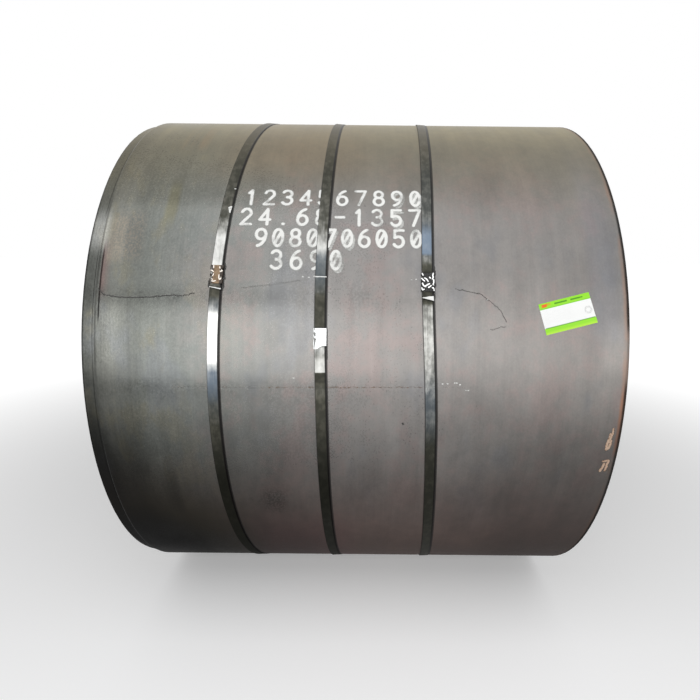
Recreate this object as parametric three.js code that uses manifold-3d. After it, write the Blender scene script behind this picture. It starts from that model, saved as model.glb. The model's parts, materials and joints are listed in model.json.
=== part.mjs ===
// Steel coil: hot rolled strip wound on a 762 mm mandrel and held by three steel straps.
// Units are millimetres. X runs along the coil's axis, -Y is its front and +Z is up.
// The origin lies on the floor, under the middle of the coil.
import * as THREE from 'three';
import { mergeVertices } from 'three/addons/utils/BufferGeometryUtils.js';
import Module from 'manifold-3d';

const wasm = await Module();
wasm.setup();

// ---- driving dimensions -------------------------------------------------------------------
const STRIP_WIDTH = 1500;
const STRIP_THICKNESS = 11.75;
const WRAP_GAP = 0.3; // mean air gap between two wraps
const WRAPS = 43;
const BORE_DIAMETER = 762;
const OUTER_WRAP_SHIFT = 42; // the last wrap was wound this far towards +X
const WRAP_WANDER = 3; // the edges of the other wraps stay within this
const EDGE_CHAMFER = 4; // the mill edge of the last wrap is rounded off
const FLATS = 32; // a multiple of four, so that one flat lies level at the bottom

const TAIL_CORNER = 20; // corner where the strip's outer end lies, counted up from the front
const HEAD_CORNER = 10; // corner in the bore where the strip's inner end lies
const RAMP_FLATS = 5; // flats over which the step behind a strip end fades out

const STRAP_WIDTH = 32;
const STRAP_THICKNESS = 1;
const STRAP_RAMP = 2; // degrees in which the upper layer comes down past the hidden end
// From the coil's left end to the middle of each strap, at the front.
const LEFT_STRAP = 375;
const MIDDLE_STRAP = 678.4;
const RIGHT_STRAP = 989;
// How far each strap strays from that place at the back (twice the lean), and at the top.
const LEFT_LEAN = -83.5;
const LEFT_TWIST = -0.6;
const MIDDLE_LEAN = -34.4;
const MIDDLE_TWIST = -7.4;
const RIGHT_LEAN = -51.1;
const RIGHT_TWIST = -27.3;

const SEAL_LENGTH = 54;
const SEAL_WALL = 1.2;
const SEAL_SIDE_PLAY = 1.8;
const NOTCH_SPACING = 24;
const NOTCH_MOUTH = 9;
const NOTCH_ROOT = 4;
const NOTCH_DEPTH = 4.5;
const CHEVRONS = 4;
const CHEVRON_SPACING = 10.5;
const CHEVRON_GROOVE = 4.5; // measured along the strap
const CHEVRON_REACH = 15; // from the middle of the seal to the end of an arm
const CHEVRON_RISE = 10; // the arms climb this far from the middle
const CHEVRON_DEPTH = 0.5;

const LABEL_LENGTH = 146;
const LABEL_HEIGHT = 90;
const LABEL_CORNER = 4;
const LABEL_THICKNESS = 0.4;
const LABEL_INSET = 175; // from the coil's right end to the middle of the label
const LABEL_ANGLE = 16.2; // degrees up from the front
const LABEL_TILT = 15.3;

const SEAT = 0.3; // gap between pieces that touch

// Each strap sits a little askew: along the axis it lies at
// front + lean * (cos(angle) - 1) + twist * sin(angle), with the angle counted up from the front.
// Seal, visible end and hidden end are angles in degrees. A seal is crimped with notches in
// its sides or with a herringbone over its roof.
const STRAPS = [
  {
    side: 'left', inset: LEFT_STRAP, lean: LEFT_LEAN, twist: LEFT_TWIST,
    seal: 22.7, end: 19.9, hidden: 26, crimp: 'notches', seal_colour: 0x9a7350,
  },
  {
    side: 'middle', inset: MIDDLE_STRAP, lean: MIDDLE_LEAN, twist: MIDDLE_TWIST,
    seal: 11.4, end: 22.5, hidden: 8.6, crimp: 'notches', seal_colour: 0xd4d3cf,
  },
  {
    side: 'right', inset: RIGHT_STRAP, lean: RIGHT_LEAN, twist: RIGHT_TWIST,
    seal: 21.6, end: 18.7, hidden: 24.6, crimp: 'herringbone', seal_colour: 0xb9bbb8,
  },
];

// ---- sizes that follow --------------------------------------------------------------------
const FLAT_ANGLE = (2 * Math.PI) / FLATS;
const WRAP_PITCH = STRIP_THICKNESS + WRAP_GAP;
const BORE_RADIUS = BORE_DIAMETER / 2;
const COIL_RADIUS = BORE_RADIUS + WRAPS * WRAP_PITCH;
const OVERALL_WIDTH = STRIP_WIDTH + OUTER_WRAP_SHIFT;
const LEFT_END = -OVERALL_WIDTH / 2;
const RIGHT_END = OVERALL_WIDTH / 2;
const LABEL_PLACE = RIGHT_END - LABEL_INSET;
const STRAP_BED = COIL_RADIUS + SEAT;
const AXIS_HEIGHT = STRAP_BED + STRAP_THICKNESS;
const CUT_MARGIN = 5; // how far a cutter reaches past what it cuts
const WELD = 1e-4; // vertices nearer than this are one

const STEEL = new THREE.MeshStandardMaterial({ color: 0x80807a, roughness: 0.5, metalness: 0.35 });
const STRAP_STEEL = new THREE.MeshStandardMaterial({ color: 0x1b1d1e, roughness: 0.3, metalness: 0.6 });
const PAPER = new THREE.MeshStandardMaterial({ color: 0xeef1ea, roughness: 0.6, metalness: 0 });

// ---- helpers ------------------------------------------------------------------------------
const cornerAngle = (corner) => (corner + 0.5) * FLAT_ANGLE;
const cornerRadius = (apothem) => apothem / Math.cos(FLAT_ANGLE / 2);

// The middle of the flat that an angle falls on.
const flatMiddle = (angle) => Math.round(angle / FLAT_ANGLE) * FLAT_ANGLE;

// A point of the coil's cross-section, (Y, Z) about the axis, at a radius and an angle.
const around = (radius, angle) => new THREE.Vector2(-radius * Math.cos(angle), radius * Math.sin(angle));

// A point on the flat at this angle, where the flats lie at the given distance from the axis.
const onFlat = (apothem, angle) => around(apothem / Math.cos(angle - flatMiddle(angle)), angle);

// Turns a closed profile of (axial, apothem) points about the coil's axis.
function turned(profile) {
  const points = profile.map(([axial, apothem]) => new THREE.Vector2(cornerRadius(apothem), axial));
  points.push(points[0].clone());
  return new THREE.LatheGeometry(points, FLATS, FLAT_ANGLE / 2).rotateZ(-Math.PI / 2);
}

// Extrudes a (Y, Z) outline along the coil's axis, centred on the origin.
function drawnAlongAxis(outline, width) {
  const geometry = new THREE.ExtrudeGeometry(outline, { depth: width, bevelEnabled: false });
  const axes = [new THREE.Vector3(0, 1, 0), new THREE.Vector3(0, 0, 1), new THREE.Vector3(1, 0, 0)];
  return geometry.translate(0, 0, -width / 2).applyMatrix4(new THREE.Matrix4().makeBasis(...axes));
}

// The same surface with one vertex at each corner, shared by the faces that meet there.
function welded(geometry) {
  const bare = geometry.clone();
  bare.deleteAttribute('normal');
  bare.deleteAttribute('uv');
  return mergeVertices(bare, WELD);
}

function toSolid(geometry) {
  const closed = welded(geometry);
  const vertProperties = new Float32Array(closed.attributes.position.array);
  const triVerts = new Uint32Array(closed.index.array);
  return new wasm.Manifold(new wasm.Mesh({ numProp: 3, vertProperties, triVerts }));
}

function toGeometry(solid) {
  const mesh = solid.getMesh();
  const geometry = new THREE.BufferGeometry();
  geometry.setAttribute('position', new THREE.BufferAttribute(mesh.vertProperties, 3));
  geometry.setIndex(new THREE.BufferAttribute(mesh.triVerts, 1));
  geometry.computeVertexNormals();
  return geometry;
}

function named(name, geometry, material) {
  const mesh = new THREE.Mesh(geometry, material);
  mesh.name = name;
  return mesh;
}

// ---- the coil -----------------------------------------------------------------------------
// Where a wrap's left edge lies. The last wrap is set over, and the others wander a little.
function leftEdge(wrap) {
  const golden = (Math.sqrt(5) - 1) / 2;
  const wander = WRAP_WANDER * ((wrap * golden) % 1);
  return LEFT_END + (wrap === WRAPS - 1 ? OUTER_WRAP_SHIFT : wander);
}

// Both ends step in and out from wrap to wrap, because every wrap has the same width.
function coilProfile() {
  const left = [];
  const right = [];
  for (let wrap = 0; wrap < WRAPS; wrap += 1) {
    const inner = BORE_RADIUS + wrap * WRAP_PITCH;
    const outer = inner + WRAP_PITCH;
    const edge = leftEdge(wrap);
    const chamfer = wrap === WRAPS - 1 ? EDGE_CHAMFER : 0;
    left.push([edge, inner], [edge, outer - chamfer]);
    right.unshift([edge + STRIP_WIDTH, outer - chamfer], [edge + STRIP_WIDTH, inner]);
    if (chamfer > 0) {
      left.push([edge + chamfer, outer]);
      right.unshift([edge + STRIP_WIDTH - chamfer, outer]);
    }
  }
  return [...left, ...right];
}

// The space beyond a strip end: as deep as the strip at the end, and fading out along the wrap.
// Outwards it is the step behind the tail, and inwards the one in the bore before the head.
function stripEndSpace(surface, corner, outwards) {
  const side = outwards ? 1 : -1;
  const far = cornerRadius(surface) + side * CUT_MARGIN;
  const floor = [];
  const roof = [];
  for (let flat = 0; flat <= RAMP_FLATS; flat += 1) {
    const depth = STRIP_THICKNESS * (1 - flat / RAMP_FLATS);
    const angle = cornerAngle(corner - side * flat);
    floor.push(around(cornerRadius(surface - side * depth), angle));
    roof.unshift(around(far, angle));
  }
  return drawnAlongAxis(new THREE.Shape([...floor, ...roof]), OVERALL_WIDTH + 2 * CUT_MARGIN);
}

function steelCoil() {
  const tailSpace = toSolid(stripEndSpace(COIL_RADIUS, TAIL_CORNER, true));
  const headSpace = toSolid(stripEndSpace(BORE_RADIUS, HEAD_CORNER, false));
  const coil = toSolid(turned(coilProfile())).subtract(tailSpace).subtract(headSpace);
  return named('steel_coil', toGeometry(coil), STEEL);
}

// ---- straps -------------------------------------------------------------------------------
// Where a strap lies along the axis. It runs straight over each flat.
function strapPlace(strap, angle) {
  const { inset, lean, twist } = strap;
  const place = (a) => LEFT_END + inset + lean * (Math.cos(a) - 1) + twist * Math.sin(a);
  const middle = flatMiddle(angle);
  const along = (1 + Math.tan(angle - middle) / Math.tan(FLAT_ANGLE / 2)) / 2;
  return THREE.MathUtils.lerp(place(middle - FLAT_ANGLE / 2), place(middle + FLAT_ANGLE / 2), along);
}

// The strap's side view: a closed band, two layers thick from its visible end to past the
// hidden end, where the upper layer comes down again.
function strapOutline(strap) {
  const end = THREE.MathUtils.degToRad(strap.end);
  const hidden = THREE.MathUtils.degToRad(strap.hidden);
  const side = Math.sign(hidden - end);
  const landed = hidden + side * THREE.MathUtils.degToRad(STRAP_RAMP);
  const double = (angle) => side * (angle - end) > 0 && side * (hidden - angle) > 0;
  const steps = [
    { angle: end, layers: side > 0 ? [1, 2] : [2, 1] },
    { angle: hidden, layers: [2] },
    { angle: landed, layers: [1] },
  ];
  const inside = [];
  for (let corner = 0; corner < FLATS; corner += 1) {
    const angle = cornerAngle(corner);
    inside.unshift(onFlat(STRAP_BED, angle)); // a hole runs the other way round than its outline
    steps.push({ angle, layers: [double(angle) ? 2 : 1] });
  }
  steps.sort((a, b) => a.angle - b.angle);
  const layer = (angle) => (count) => onFlat(STRAP_BED + count * STRAP_THICKNESS, angle);
  const outline = new THREE.Shape(steps.flatMap(({ angle, layers }) => layers.map(layer(angle))));
  outline.holes.push(new THREE.Path(inside));
  return outline;
}

function strapBand(strap) {
  const geometry = welded(drawnAlongAxis(strapOutline(strap), STRAP_WIDTH));
  const position = geometry.attributes.position;
  for (let i = 0; i < position.count; i += 1) {
    const angle = Math.atan2(position.getZ(i), -position.getY(i));
    position.setX(i, position.getX(i) + strapPlace(strap, angle));
  }
  geometry.computeVertexNormals();
  return named(`strap_${strap.side}`, geometry, STRAP_STEEL);
}

// ---- seals --------------------------------------------------------------------------------
const SEAL_HALF = STRAP_WIDTH / 2 + SEAL_SIDE_PLAY + SEAL_WALL;
const SEAL_ROOF = 2 * STRAP_THICKNESS + SEAT; // height of the roof's underside over the bed
const SEAL_TOP = SEAL_ROOF + SEAL_WALL;

// A channel over both layers of the strap. Its section is (across, outwards) from the bed.
function sealChannel() {
  const inner = STRAP_WIDTH / 2 + SEAL_SIDE_PLAY;
  const section = new THREE.Shape();
  section.moveTo(-SEAL_HALF, 0);
  section.lineTo(-inner, 0);
  section.lineTo(-inner, SEAL_ROOF);
  section.lineTo(inner, SEAL_ROOF);
  section.lineTo(inner, 0);
  section.lineTo(SEAL_HALF, 0);
  section.lineTo(SEAL_HALF, SEAL_TOP);
  section.lineTo(-SEAL_HALF, SEAL_TOP);
  section.closePath();
  const channel = new THREE.ExtrudeGeometry(section, { depth: SEAL_LENGTH, bevelEnabled: false });
  return channel.rotateX(Math.PI / 2).translate(0, SEAL_LENGTH / 2, 0);
}

// One crimp notch, cut into the channel's edge from the side and right through it.
function notchCutter(side, along) {
  const notch = new THREE.Shape();
  notch.moveTo(side * (SEAL_HALF - NOTCH_DEPTH), along - NOTCH_ROOT / 2);
  notch.lineTo(side * (SEAL_HALF + CUT_MARGIN), along - NOTCH_MOUTH / 2);
  notch.lineTo(side * (SEAL_HALF + CUT_MARGIN), along + NOTCH_MOUTH / 2);
  notch.lineTo(side * (SEAL_HALF - NOTCH_DEPTH), along + NOTCH_ROOT / 2);
  notch.closePath();
  const depth = SEAL_TOP + 2 * CUT_MARGIN;
  const cutter = new THREE.ExtrudeGeometry(notch, { depth, bevelEnabled: false });
  return cutter.translate(0, 0, -CUT_MARGIN);
}

function notchCutters() {
  const places = [-NOTCH_SPACING / 2, NOTCH_SPACING / 2];
  return [-1, 1].flatMap((side) => places.map((along) => notchCutter(side, along)));
}

// One groove of the herringbone: a chevron pressed into the roof, with its point down.
function chevronCutter(along) {
  const groove = new THREE.Shape();
  groove.moveTo(0, along);
  groove.lineTo(CHEVRON_REACH, along + CHEVRON_RISE);
  groove.lineTo(CHEVRON_REACH, along + CHEVRON_RISE + CHEVRON_GROOVE);
  groove.lineTo(0, along + CHEVRON_GROOVE);
  groove.lineTo(-CHEVRON_REACH, along + CHEVRON_RISE + CHEVRON_GROOVE);
  groove.lineTo(-CHEVRON_REACH, along + CHEVRON_RISE);
  groove.closePath();
  const depth = CHEVRON_DEPTH + CUT_MARGIN;
  const cutter = new THREE.ExtrudeGeometry(groove, { depth, bevelEnabled: false });
  return cutter.translate(0, 0, SEAL_TOP - CHEVRON_DEPTH);
}

function chevronCutters() {
  const height = (CHEVRONS - 1) * CHEVRON_SPACING + CHEVRON_RISE + CHEVRON_GROOVE;
  const lowest = -height / 2;
  return Array.from({ length: CHEVRONS }, (_, index) => chevronCutter(lowest + index * CHEVRON_SPACING));
}

function crimpedSeal(crimp) {
  const cutters = crimp === 'herringbone' ? chevronCutters() : notchCutters();
  const cut = (seal, cutter) => seal.subtract(toSolid(cutter));
  return toGeometry(cutters.reduce(cut, toSolid(sealChannel())));
}

// Stands the seal on the flat that carries it, turned to the strap's own run.
function sealOn(strap) {
  const angle = THREE.MathUtils.degToRad(strap.seal);
  const middle = flatMiddle(angle);
  const run = strapPlace(strap, middle + FLAT_ANGLE / 4) - strapPlace(strap, middle - FLAT_ANGLE / 4);
  const rise = 2 * STRAP_BED * Math.tan(FLAT_ANGLE / 4);
  const finish = { color: strap.seal_colour, roughness: 0.35, metalness: 0.8 };
  const material = new THREE.MeshStandardMaterial(finish);
  const seal = named(`seal_${strap.side}`, crimpedSeal(strap.crimp), material);
  seal.position.set(strapPlace(strap, angle), STRAP_BED * Math.tan(angle - middle), STRAP_BED);
  seal.rotation.z = -Math.atan2(run, rise);
  const flat = new THREE.Group();
  flat.rotation.x = Math.PI / 2 - middle;
  flat.add(seal);
  return flat;
}

// ---- label --------------------------------------------------------------------------------
function roundedRectangle(length, height, radius) {
  const x = length / 2 - radius;
  const y = height / 2 - radius;
  const outline = new THREE.Shape();
  outline.absarc(x, y, radius, 0, Math.PI / 2);
  outline.absarc(-x, y, radius, Math.PI / 2, Math.PI);
  outline.absarc(-x, -y, radius, Math.PI, 1.5 * Math.PI);
  outline.absarc(x, -y, radius, 1.5 * Math.PI, 2 * Math.PI);
  return outline;
}

// The label follows the flats under it, so it is cut out of a thin skin around the coil.
function label() {
  const under = COIL_RADIUS + SEAT;
  const over = under + LABEL_THICKNESS;
  const reach = LABEL_LENGTH; // the skin is wide enough for the label at any tilt
  const skin = turned([
    [LABEL_PLACE - reach, under],
    [LABEL_PLACE - reach, over],
    [LABEL_PLACE + reach, over],
    [LABEL_PLACE + reach, under],
  ]);
  const outline = roundedRectangle(LABEL_LENGTH, LABEL_HEIGHT, LABEL_CORNER);
  const through = { depth: COIL_RADIUS, bevelEnabled: false, curveSegments: 3 };
  const punch = new THREE.ExtrudeGeometry(outline, through);
  punch.rotateZ(THREE.MathUtils.degToRad(LABEL_TILT));
  punch.translate(LABEL_PLACE, 0, COIL_RADIUS / 2);
  punch.rotateX(Math.PI / 2 - THREE.MathUtils.degToRad(LABEL_ANGLE));
  return named('label', toGeometry(toSolid(skin).intersect(toSolid(punch))), PAPER);
}

// ---- assembly -----------------------------------------------------------------------------
const steelCoilOnFloor = new THREE.Group();
steelCoilOnFloor.position.z = AXIS_HEIGHT;
steelCoilOnFloor.add(steelCoil());
for (const strap of STRAPS) {
  steelCoilOnFloor.add(strapBand(strap), sealOn(strap));
}
steelCoilOnFloor.add(label());

export default steelCoilOnFloor;
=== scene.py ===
# %% [markdown]
# # A coil of hot rolled steel strip
# A mill winds a strip of steel 1.5 m wide round a mandrel, and three steel straps keep it
# from springing open. This lesson dresses the plain model of such a coil: it keeps the
# sizes and the places, and makes the strip, the straps, the seals and the marks as they
# really look. Every length is in metres, and the coil's axis lies along X.
# %% Load the plain model
import json
import math

import bpy
import numpy as np
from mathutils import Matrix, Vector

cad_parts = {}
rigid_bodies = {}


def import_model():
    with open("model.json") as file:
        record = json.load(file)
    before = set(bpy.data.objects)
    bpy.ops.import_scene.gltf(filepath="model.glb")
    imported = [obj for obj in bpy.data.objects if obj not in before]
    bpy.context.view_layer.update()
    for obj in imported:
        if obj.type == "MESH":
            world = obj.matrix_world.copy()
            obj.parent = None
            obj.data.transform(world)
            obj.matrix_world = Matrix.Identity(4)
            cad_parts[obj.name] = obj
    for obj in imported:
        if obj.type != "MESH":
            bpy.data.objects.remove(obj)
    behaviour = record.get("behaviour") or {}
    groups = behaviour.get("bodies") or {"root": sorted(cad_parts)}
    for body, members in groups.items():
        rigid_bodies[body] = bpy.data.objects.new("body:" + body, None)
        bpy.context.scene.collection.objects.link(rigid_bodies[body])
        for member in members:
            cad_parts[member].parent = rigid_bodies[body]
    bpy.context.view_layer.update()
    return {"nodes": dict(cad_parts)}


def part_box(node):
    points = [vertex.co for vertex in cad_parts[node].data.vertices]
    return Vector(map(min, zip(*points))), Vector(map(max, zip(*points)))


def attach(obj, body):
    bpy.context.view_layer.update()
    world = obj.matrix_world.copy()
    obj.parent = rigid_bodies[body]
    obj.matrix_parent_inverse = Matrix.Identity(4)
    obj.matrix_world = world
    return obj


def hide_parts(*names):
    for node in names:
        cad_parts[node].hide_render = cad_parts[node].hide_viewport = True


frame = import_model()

MM = 0.001
print("nodes:", ", ".join(sorted(frame["nodes"])))

# %% [markdown]
# ## The sizes that everything follows
# The plain model's boxes give the coil's radius, its axis and its two ends. Angles are
# counted round that axis, from the front (-Y) upwards, so 90 degrees is the top.
# %% Sizes of the coil
coil_low, coil_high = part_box("steel_coil")
AXIS_HEIGHT = (coil_low.z + coil_high.z) / 2
COIL_RADIUS = (coil_high.z - coil_low.z) / 2
HALF_LENGTH = coil_high.x
STRIP_WIDTH = 1500 * MM
STRIP_THICKNESS = 11.75 * MM
BORE_RADIUS = 381 * MM
TURN = 2 * math.pi
DEGREE = math.pi / 180
print(f"radius {COIL_RADIUS:.4f}, axis at {AXIS_HEIGHT:.4f}, ends at +-{HALF_LENGTH:.4f}")


def on_coil(place, radius, angle):
    """The point at a place along the axis, a radius and an angle up from the front."""
    return (place, -radius * math.cos(angle), AXIS_HEIGHT + radius * math.sin(angle))


def outwards(distance, angle):
    """A move of so far away from the coil's axis."""
    return (0, -distance * math.cos(angle), distance * math.sin(angle))


def angle_of(node):
    """The angle at which the middle of a CAD node lies."""
    low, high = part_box(node)
    middle = (low + high) / 2
    return math.atan2(middle.z - AXIS_HEIGHT, -middle.y)


# %% [markdown]
# ## Camera
# The camera stands in front, a little above the coil's middle and quite near, so the ends
# bulge towards the edges of the picture. The lens and distance are what make the round
# ends narrow as they do, and a small shift moves the coil a little to the right.
# %% Camera
def add(name, data):
    """Adds an object with this data to the scene."""
    made = bpy.data.objects.new(name, data)
    bpy.context.scene.collection.objects.link(made)
    return made


CAMERA_ALONG = 0.033  # this far to the right of the coil's middle
CAMERA_DISTANCE = 2.336  # from the coil's axis
CAMERA_RISE = math.radians(11)
CAMERA_DIP = math.radians(1.037)  # it looks a little below the axis
CAMERA_YAW = math.radians(-0.08)
CAMERA_ROLL = math.radians(0.58)  # it is held a little askew
camera_data = bpy.data.cameras.new("camera")
camera_data.sensor_width = 36
camera_data.lens = 26.56
camera_data.shift_x = -0.0239
camera = add("camera", camera_data)
camera.location = on_coil(CAMERA_ALONG, CAMERA_DISTANCE, CAMERA_RISE)
camera.rotation_euler = (math.pi / 2 - CAMERA_RISE - CAMERA_DIP, 0, CAMERA_YAW)
camera.rotation_euler.rotate_axis("Z", CAMERA_ROLL)
bpy.context.scene.camera = camera
bpy.context.scene.view_settings.view_transform = "Standard"
print("camera at", [round(v, 3) for v in camera.location])

# %% [markdown]
# ## Helpers for modelling
# An operator acts on whatever is selected, so each step first picks the one object that it
# is meant for. Turning and moving an object is followed by applying it, which leaves every
# finished piece at the origin with its place in its mesh.
# %% Picking, applying, smoothing and finishing a piece
def pick(piece):
    """Selects this object alone and makes it the active one."""
    bpy.ops.object.select_all(action="DESELECT")
    piece.select_set(True)
    bpy.context.view_layer.objects.active = piece
    return piece


def place_in_mesh(piece):
    """Moves the object's place, turn and size into its mesh."""
    pick(piece)
    bpy.ops.object.transform_apply(location=True, rotation=True, scale=True)
    return piece


def apply_modifier(piece, kind, **settings):
    """Adds one modifier, sets it and applies it."""
    pick(piece)
    modifier = piece.modifiers.new(kind.lower(), kind)
    for name, value in settings.items():
        setattr(modifier, name, value)
    bpy.ops.object.modifier_apply(modifier=modifier.name)
    return piece


def smooth(piece, degrees):
    """Shades the piece smooth, apart from its edges that turn more than this."""
    pick(piece)
    bpy.ops.object.shade_smooth_by_angle(angle=math.radians(degrees))
    return piece


def describe(piece):
    """Prints how big a piece is and how many triangles it has."""
    size = ", ".join(f"{v:.4f}" for v in piece.dimensions)
    triangles = sum(len(face.vertices) - 2 for face in piece.data.polygons)
    print(f"{piece.name}: {size} m, {triangles} triangles")


def finished(piece, degrees):
    """Shades a piece, puts its place into its mesh and says what came of it."""
    smooth(piece, degrees)
    place_in_mesh(piece)
    describe(piece)
    return piece


# %% Changing the points or faces that a rule picks
def edit(piece, rule, operator, kind="VERT", **settings):
    """Lets an operator act on those points or faces of a piece that a rule picks."""
    pick(piece)
    bpy.ops.object.mode_set(mode="EDIT")
    bpy.ops.mesh.select_mode(type=kind)
    bpy.ops.mesh.select_all(action="DESELECT")
    bpy.ops.object.mode_set(mode="OBJECT")
    for part in piece.data.vertices if kind == "VERT" else piece.data.polygons:
        part.select = bool(rule(part))
    bpy.ops.object.mode_set(mode="EDIT")
    operator(**settings)
    bpy.ops.object.mode_set(mode="OBJECT")


def push(piece, rule, move, reach=0.0):
    """Moves the picked points, and those within reach of them by a share."""
    soft = {}
    if reach:
        soft = {"use_proportional_edit": True, "use_proportional_connected": True}
        soft["proportional_size"] = reach
    edit(piece, lambda point: rule(point.co), bpy.ops.transform.translate, value=move, **soft)


# %% [markdown]
# ## The wound strip
# The real coil is one strip in a spiral, so it isn't a pipe: each turn lies 12 mm further
# out than the last, its inner end shows in the bore and its outer end stops in a square
# step low at the back. A curve is the way to make that. It follows the spiral and carries
# the strip's own section, just as the strip itself was wound. The curve is drawn round Z
# first, because a curve that keeps Z up never flips there, and is then laid on its side.
# %% The spiral
STEPS = 128  # steps in a turn
STEP = TURN / STEPS
TAIL = math.radians(230.625)  # the strip's outer end
HEAD = math.radians(118.125)  # its inner end, in the bore
FULL_TURNS = 42
turns = FULL_TURNS + (HEAD - TAIL) % TURN / TURN
SEAT = 0.3 * MM  # gap between pieces that touch
STRAP_THICKNESS = 1 * MM
TAIL_RADIUS = COIL_RADIUS + 1.3 * MM  # the lowest point then lies at the coil's radius
pitch = (TAIL_RADIUS - STRIP_THICKNESS - BORE_RADIUS) / turns
print(f"{turns:.3f} turns, {pitch / MM:.3f} mm apart")


def coil_radius(angle):
    """Radius of the coil's outside at an angle."""
    return TAIL_RADIUS - pitch * ((angle - TAIL) % TURN / TURN)


# %% Where the turns lie along the axis
WANDER = 3 * MM  # the other turns stay within this
SHIFT_STRETCH = 0.22  # turns in which the strip runs over, behind the coil
GOLDEN = (math.sqrt(5) - 1) / 2
inner_middle = STRIP_WIDTH / 2 - HALF_LENGTH
outer_middle = HALF_LENGTH - STRIP_WIDTH / 2


def ease(share):
    """Runs smoothly from 0 to 1 as share does, and stays there."""
    share = min(max(share, 0.0), 1.0)
    return share * share * (3 - 2 * share)


def strip_middle(turn):
    """Where the strip's middle lies along the axis, after so many turns from its head."""
    wander = WANDER * (1 + math.sin(TURN * GOLDEN * turn)) / 2
    run_over = ease((turn - (turns - 1 - SHIFT_STRETCH)) / SHIFT_STRETCH)
    return (inner_middle + wander) * (1 - run_over) + outer_middle * run_over


# %% A section carried along a curve
def outline_of(name, section):
    """A closed curve through the points of a section, given as (out, along)."""
    outline = bpy.data.curves.new(name, "CURVE")
    corners = outline.splines.new("POLY")
    corners.points.add(len(section) - 1)
    corners.use_cyclic_u = True
    for point, (out, along) in zip(corners.points, section):
        point.co = (out, along, 0, 1)
    return add(name, outline)


def wound(name, path, section):
    """Sweeps a section over a path of (angle, radius, place, tilt)."""
    outline = outline_of(name + "_section", section)
    curve = bpy.data.curves.new(name, "CURVE")
    curve.dimensions = "3D"
    curve.twist_mode = "Z_UP"
    curve.bevel_mode = "OBJECT"
    curve.bevel_object = outline
    curve.use_fill_caps = True
    line = curve.splines.new("POLY")
    line.points.add(len(path) - 1)
    for point, (angle, radius, place, tilt) in zip(line.points, path):
        point.co = (-radius * math.cos(angle), radius * math.sin(angle), place, 1)
        point.tilt = tilt
    pick(add(name, curve))
    bpy.ops.object.convert(target="MESH")
    piece = bpy.context.view_layer.objects.active
    piece.rotation_euler = (math.pi / 2, 0, math.pi / 2)
    piece.location.z = AXIS_HEIGHT
    place_in_mesh(piece)
    bpy.data.objects.remove(outline)
    return piece


def rounded_section(width, thickness, rounding, shelf):
    """A flat section with round edges. Each flat side ends in a narrow shelf, so that the
    shading of the round edge doesn't spread over the whole width."""
    half, out = width / 2, thickness / 2
    edge = [  # the round is a half of a flattened circle, through five points
        (out, half - rounding - shelf),
        (out, half - rounding),
        (0.8 * out, half - 0.36 * rounding),
        (0, half),
        (-0.8 * out, half - 0.36 * rounding),
        (-out, half - rounding),
        (-out, half - rounding - shelf),
    ]
    return edge + [(-out_, -along) for out_, along in edge]


# %% Wind the strip
EDGE_ROUNDING = 5.5 * MM
SHELF = 3 * MM
path = []
for step in range(round(turns * STEPS) + 1):
    turn = step / STEPS
    radius = BORE_RADIUS + STRIP_THICKNESS / 2 + pitch * turn
    path.append((TAIL + (turns - turn) * TURN, radius, strip_middle(turn), 0.0))
strip_section = rounded_section(STRIP_WIDTH, STRIP_THICKNESS, EDGE_ROUNDING, SHELF)
coil = smooth(wound("wound_strip", path, strip_section), 50)
describe(coil)

# %% [markdown]
# ## Three straps
# Each strap is a band of thin steel pulled tight round the coil. Its two ends lap over
# each other, and it bridges the step at the strip's outer end in a straight line. A band
# that runs a little askew can't lie flat: one edge stands off, and throws the thin dark
# line that a strap has along one side. The weight of the coil presses it flat again
# underneath. Two of the straps swerve a little where they were tightened, and two were cut
# off aslant. The sweep that made the strip makes the straps too, as a curve has a tilt.
# %% Where a strap lies
BRIDGE = math.acos((TAIL_RADIUS - pitch) / TAIL_RADIUS)  # how far the straight stretch reaches
STRAP_TILT = math.radians(4)
FLAT_UNDERNEATH = math.radians(35)  # the tilt fades out this far from the lowest point
BOTTOM = math.radians(270)


def strap_bed(angle):
    """Radius of the surface that a strap lies on, with the stretch where it bridges the step."""
    past_tail = (TAIL - angle) % TURN
    if past_tail < BRIDGE:
        straight = (TAIL_RADIUS - pitch) / math.cos(BRIDGE - past_tail)
        return max(coil_radius(angle), straight) + SEAT
    return coil_radius(angle) + SEAT


def strap_tilt(angle):
    """How far the strap's one edge stands off. The coil's own weight presses it flat."""
    from_bottom = abs((angle - BOTTOM + math.pi) % TURN - math.pi)
    return STRAP_TILT * ease((from_bottom - FLAT_UNDERNEATH / 3) / FLAT_UNDERNEATH)


SWAY_HEIGHT = 0.33  # a strap swerves most where it is this far above the axis
SWAY_REACH = 0.42  # and runs straight again this much higher or lower


def strap_place(strap, angle):
    """Where the strap's middle lies along the axis."""
    away = abs(COIL_RADIUS * math.sin(angle) - SWAY_HEIGHT) / SWAY_REACH
    sway = strap["sway"] * ease(1 - away) if math.cos(angle) > 0 else 0
    straight = strap["middle"] + strap["lean"] * math.cos(angle) + strap["twist"] * math.sin(angle)
    return straight + sway


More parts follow.
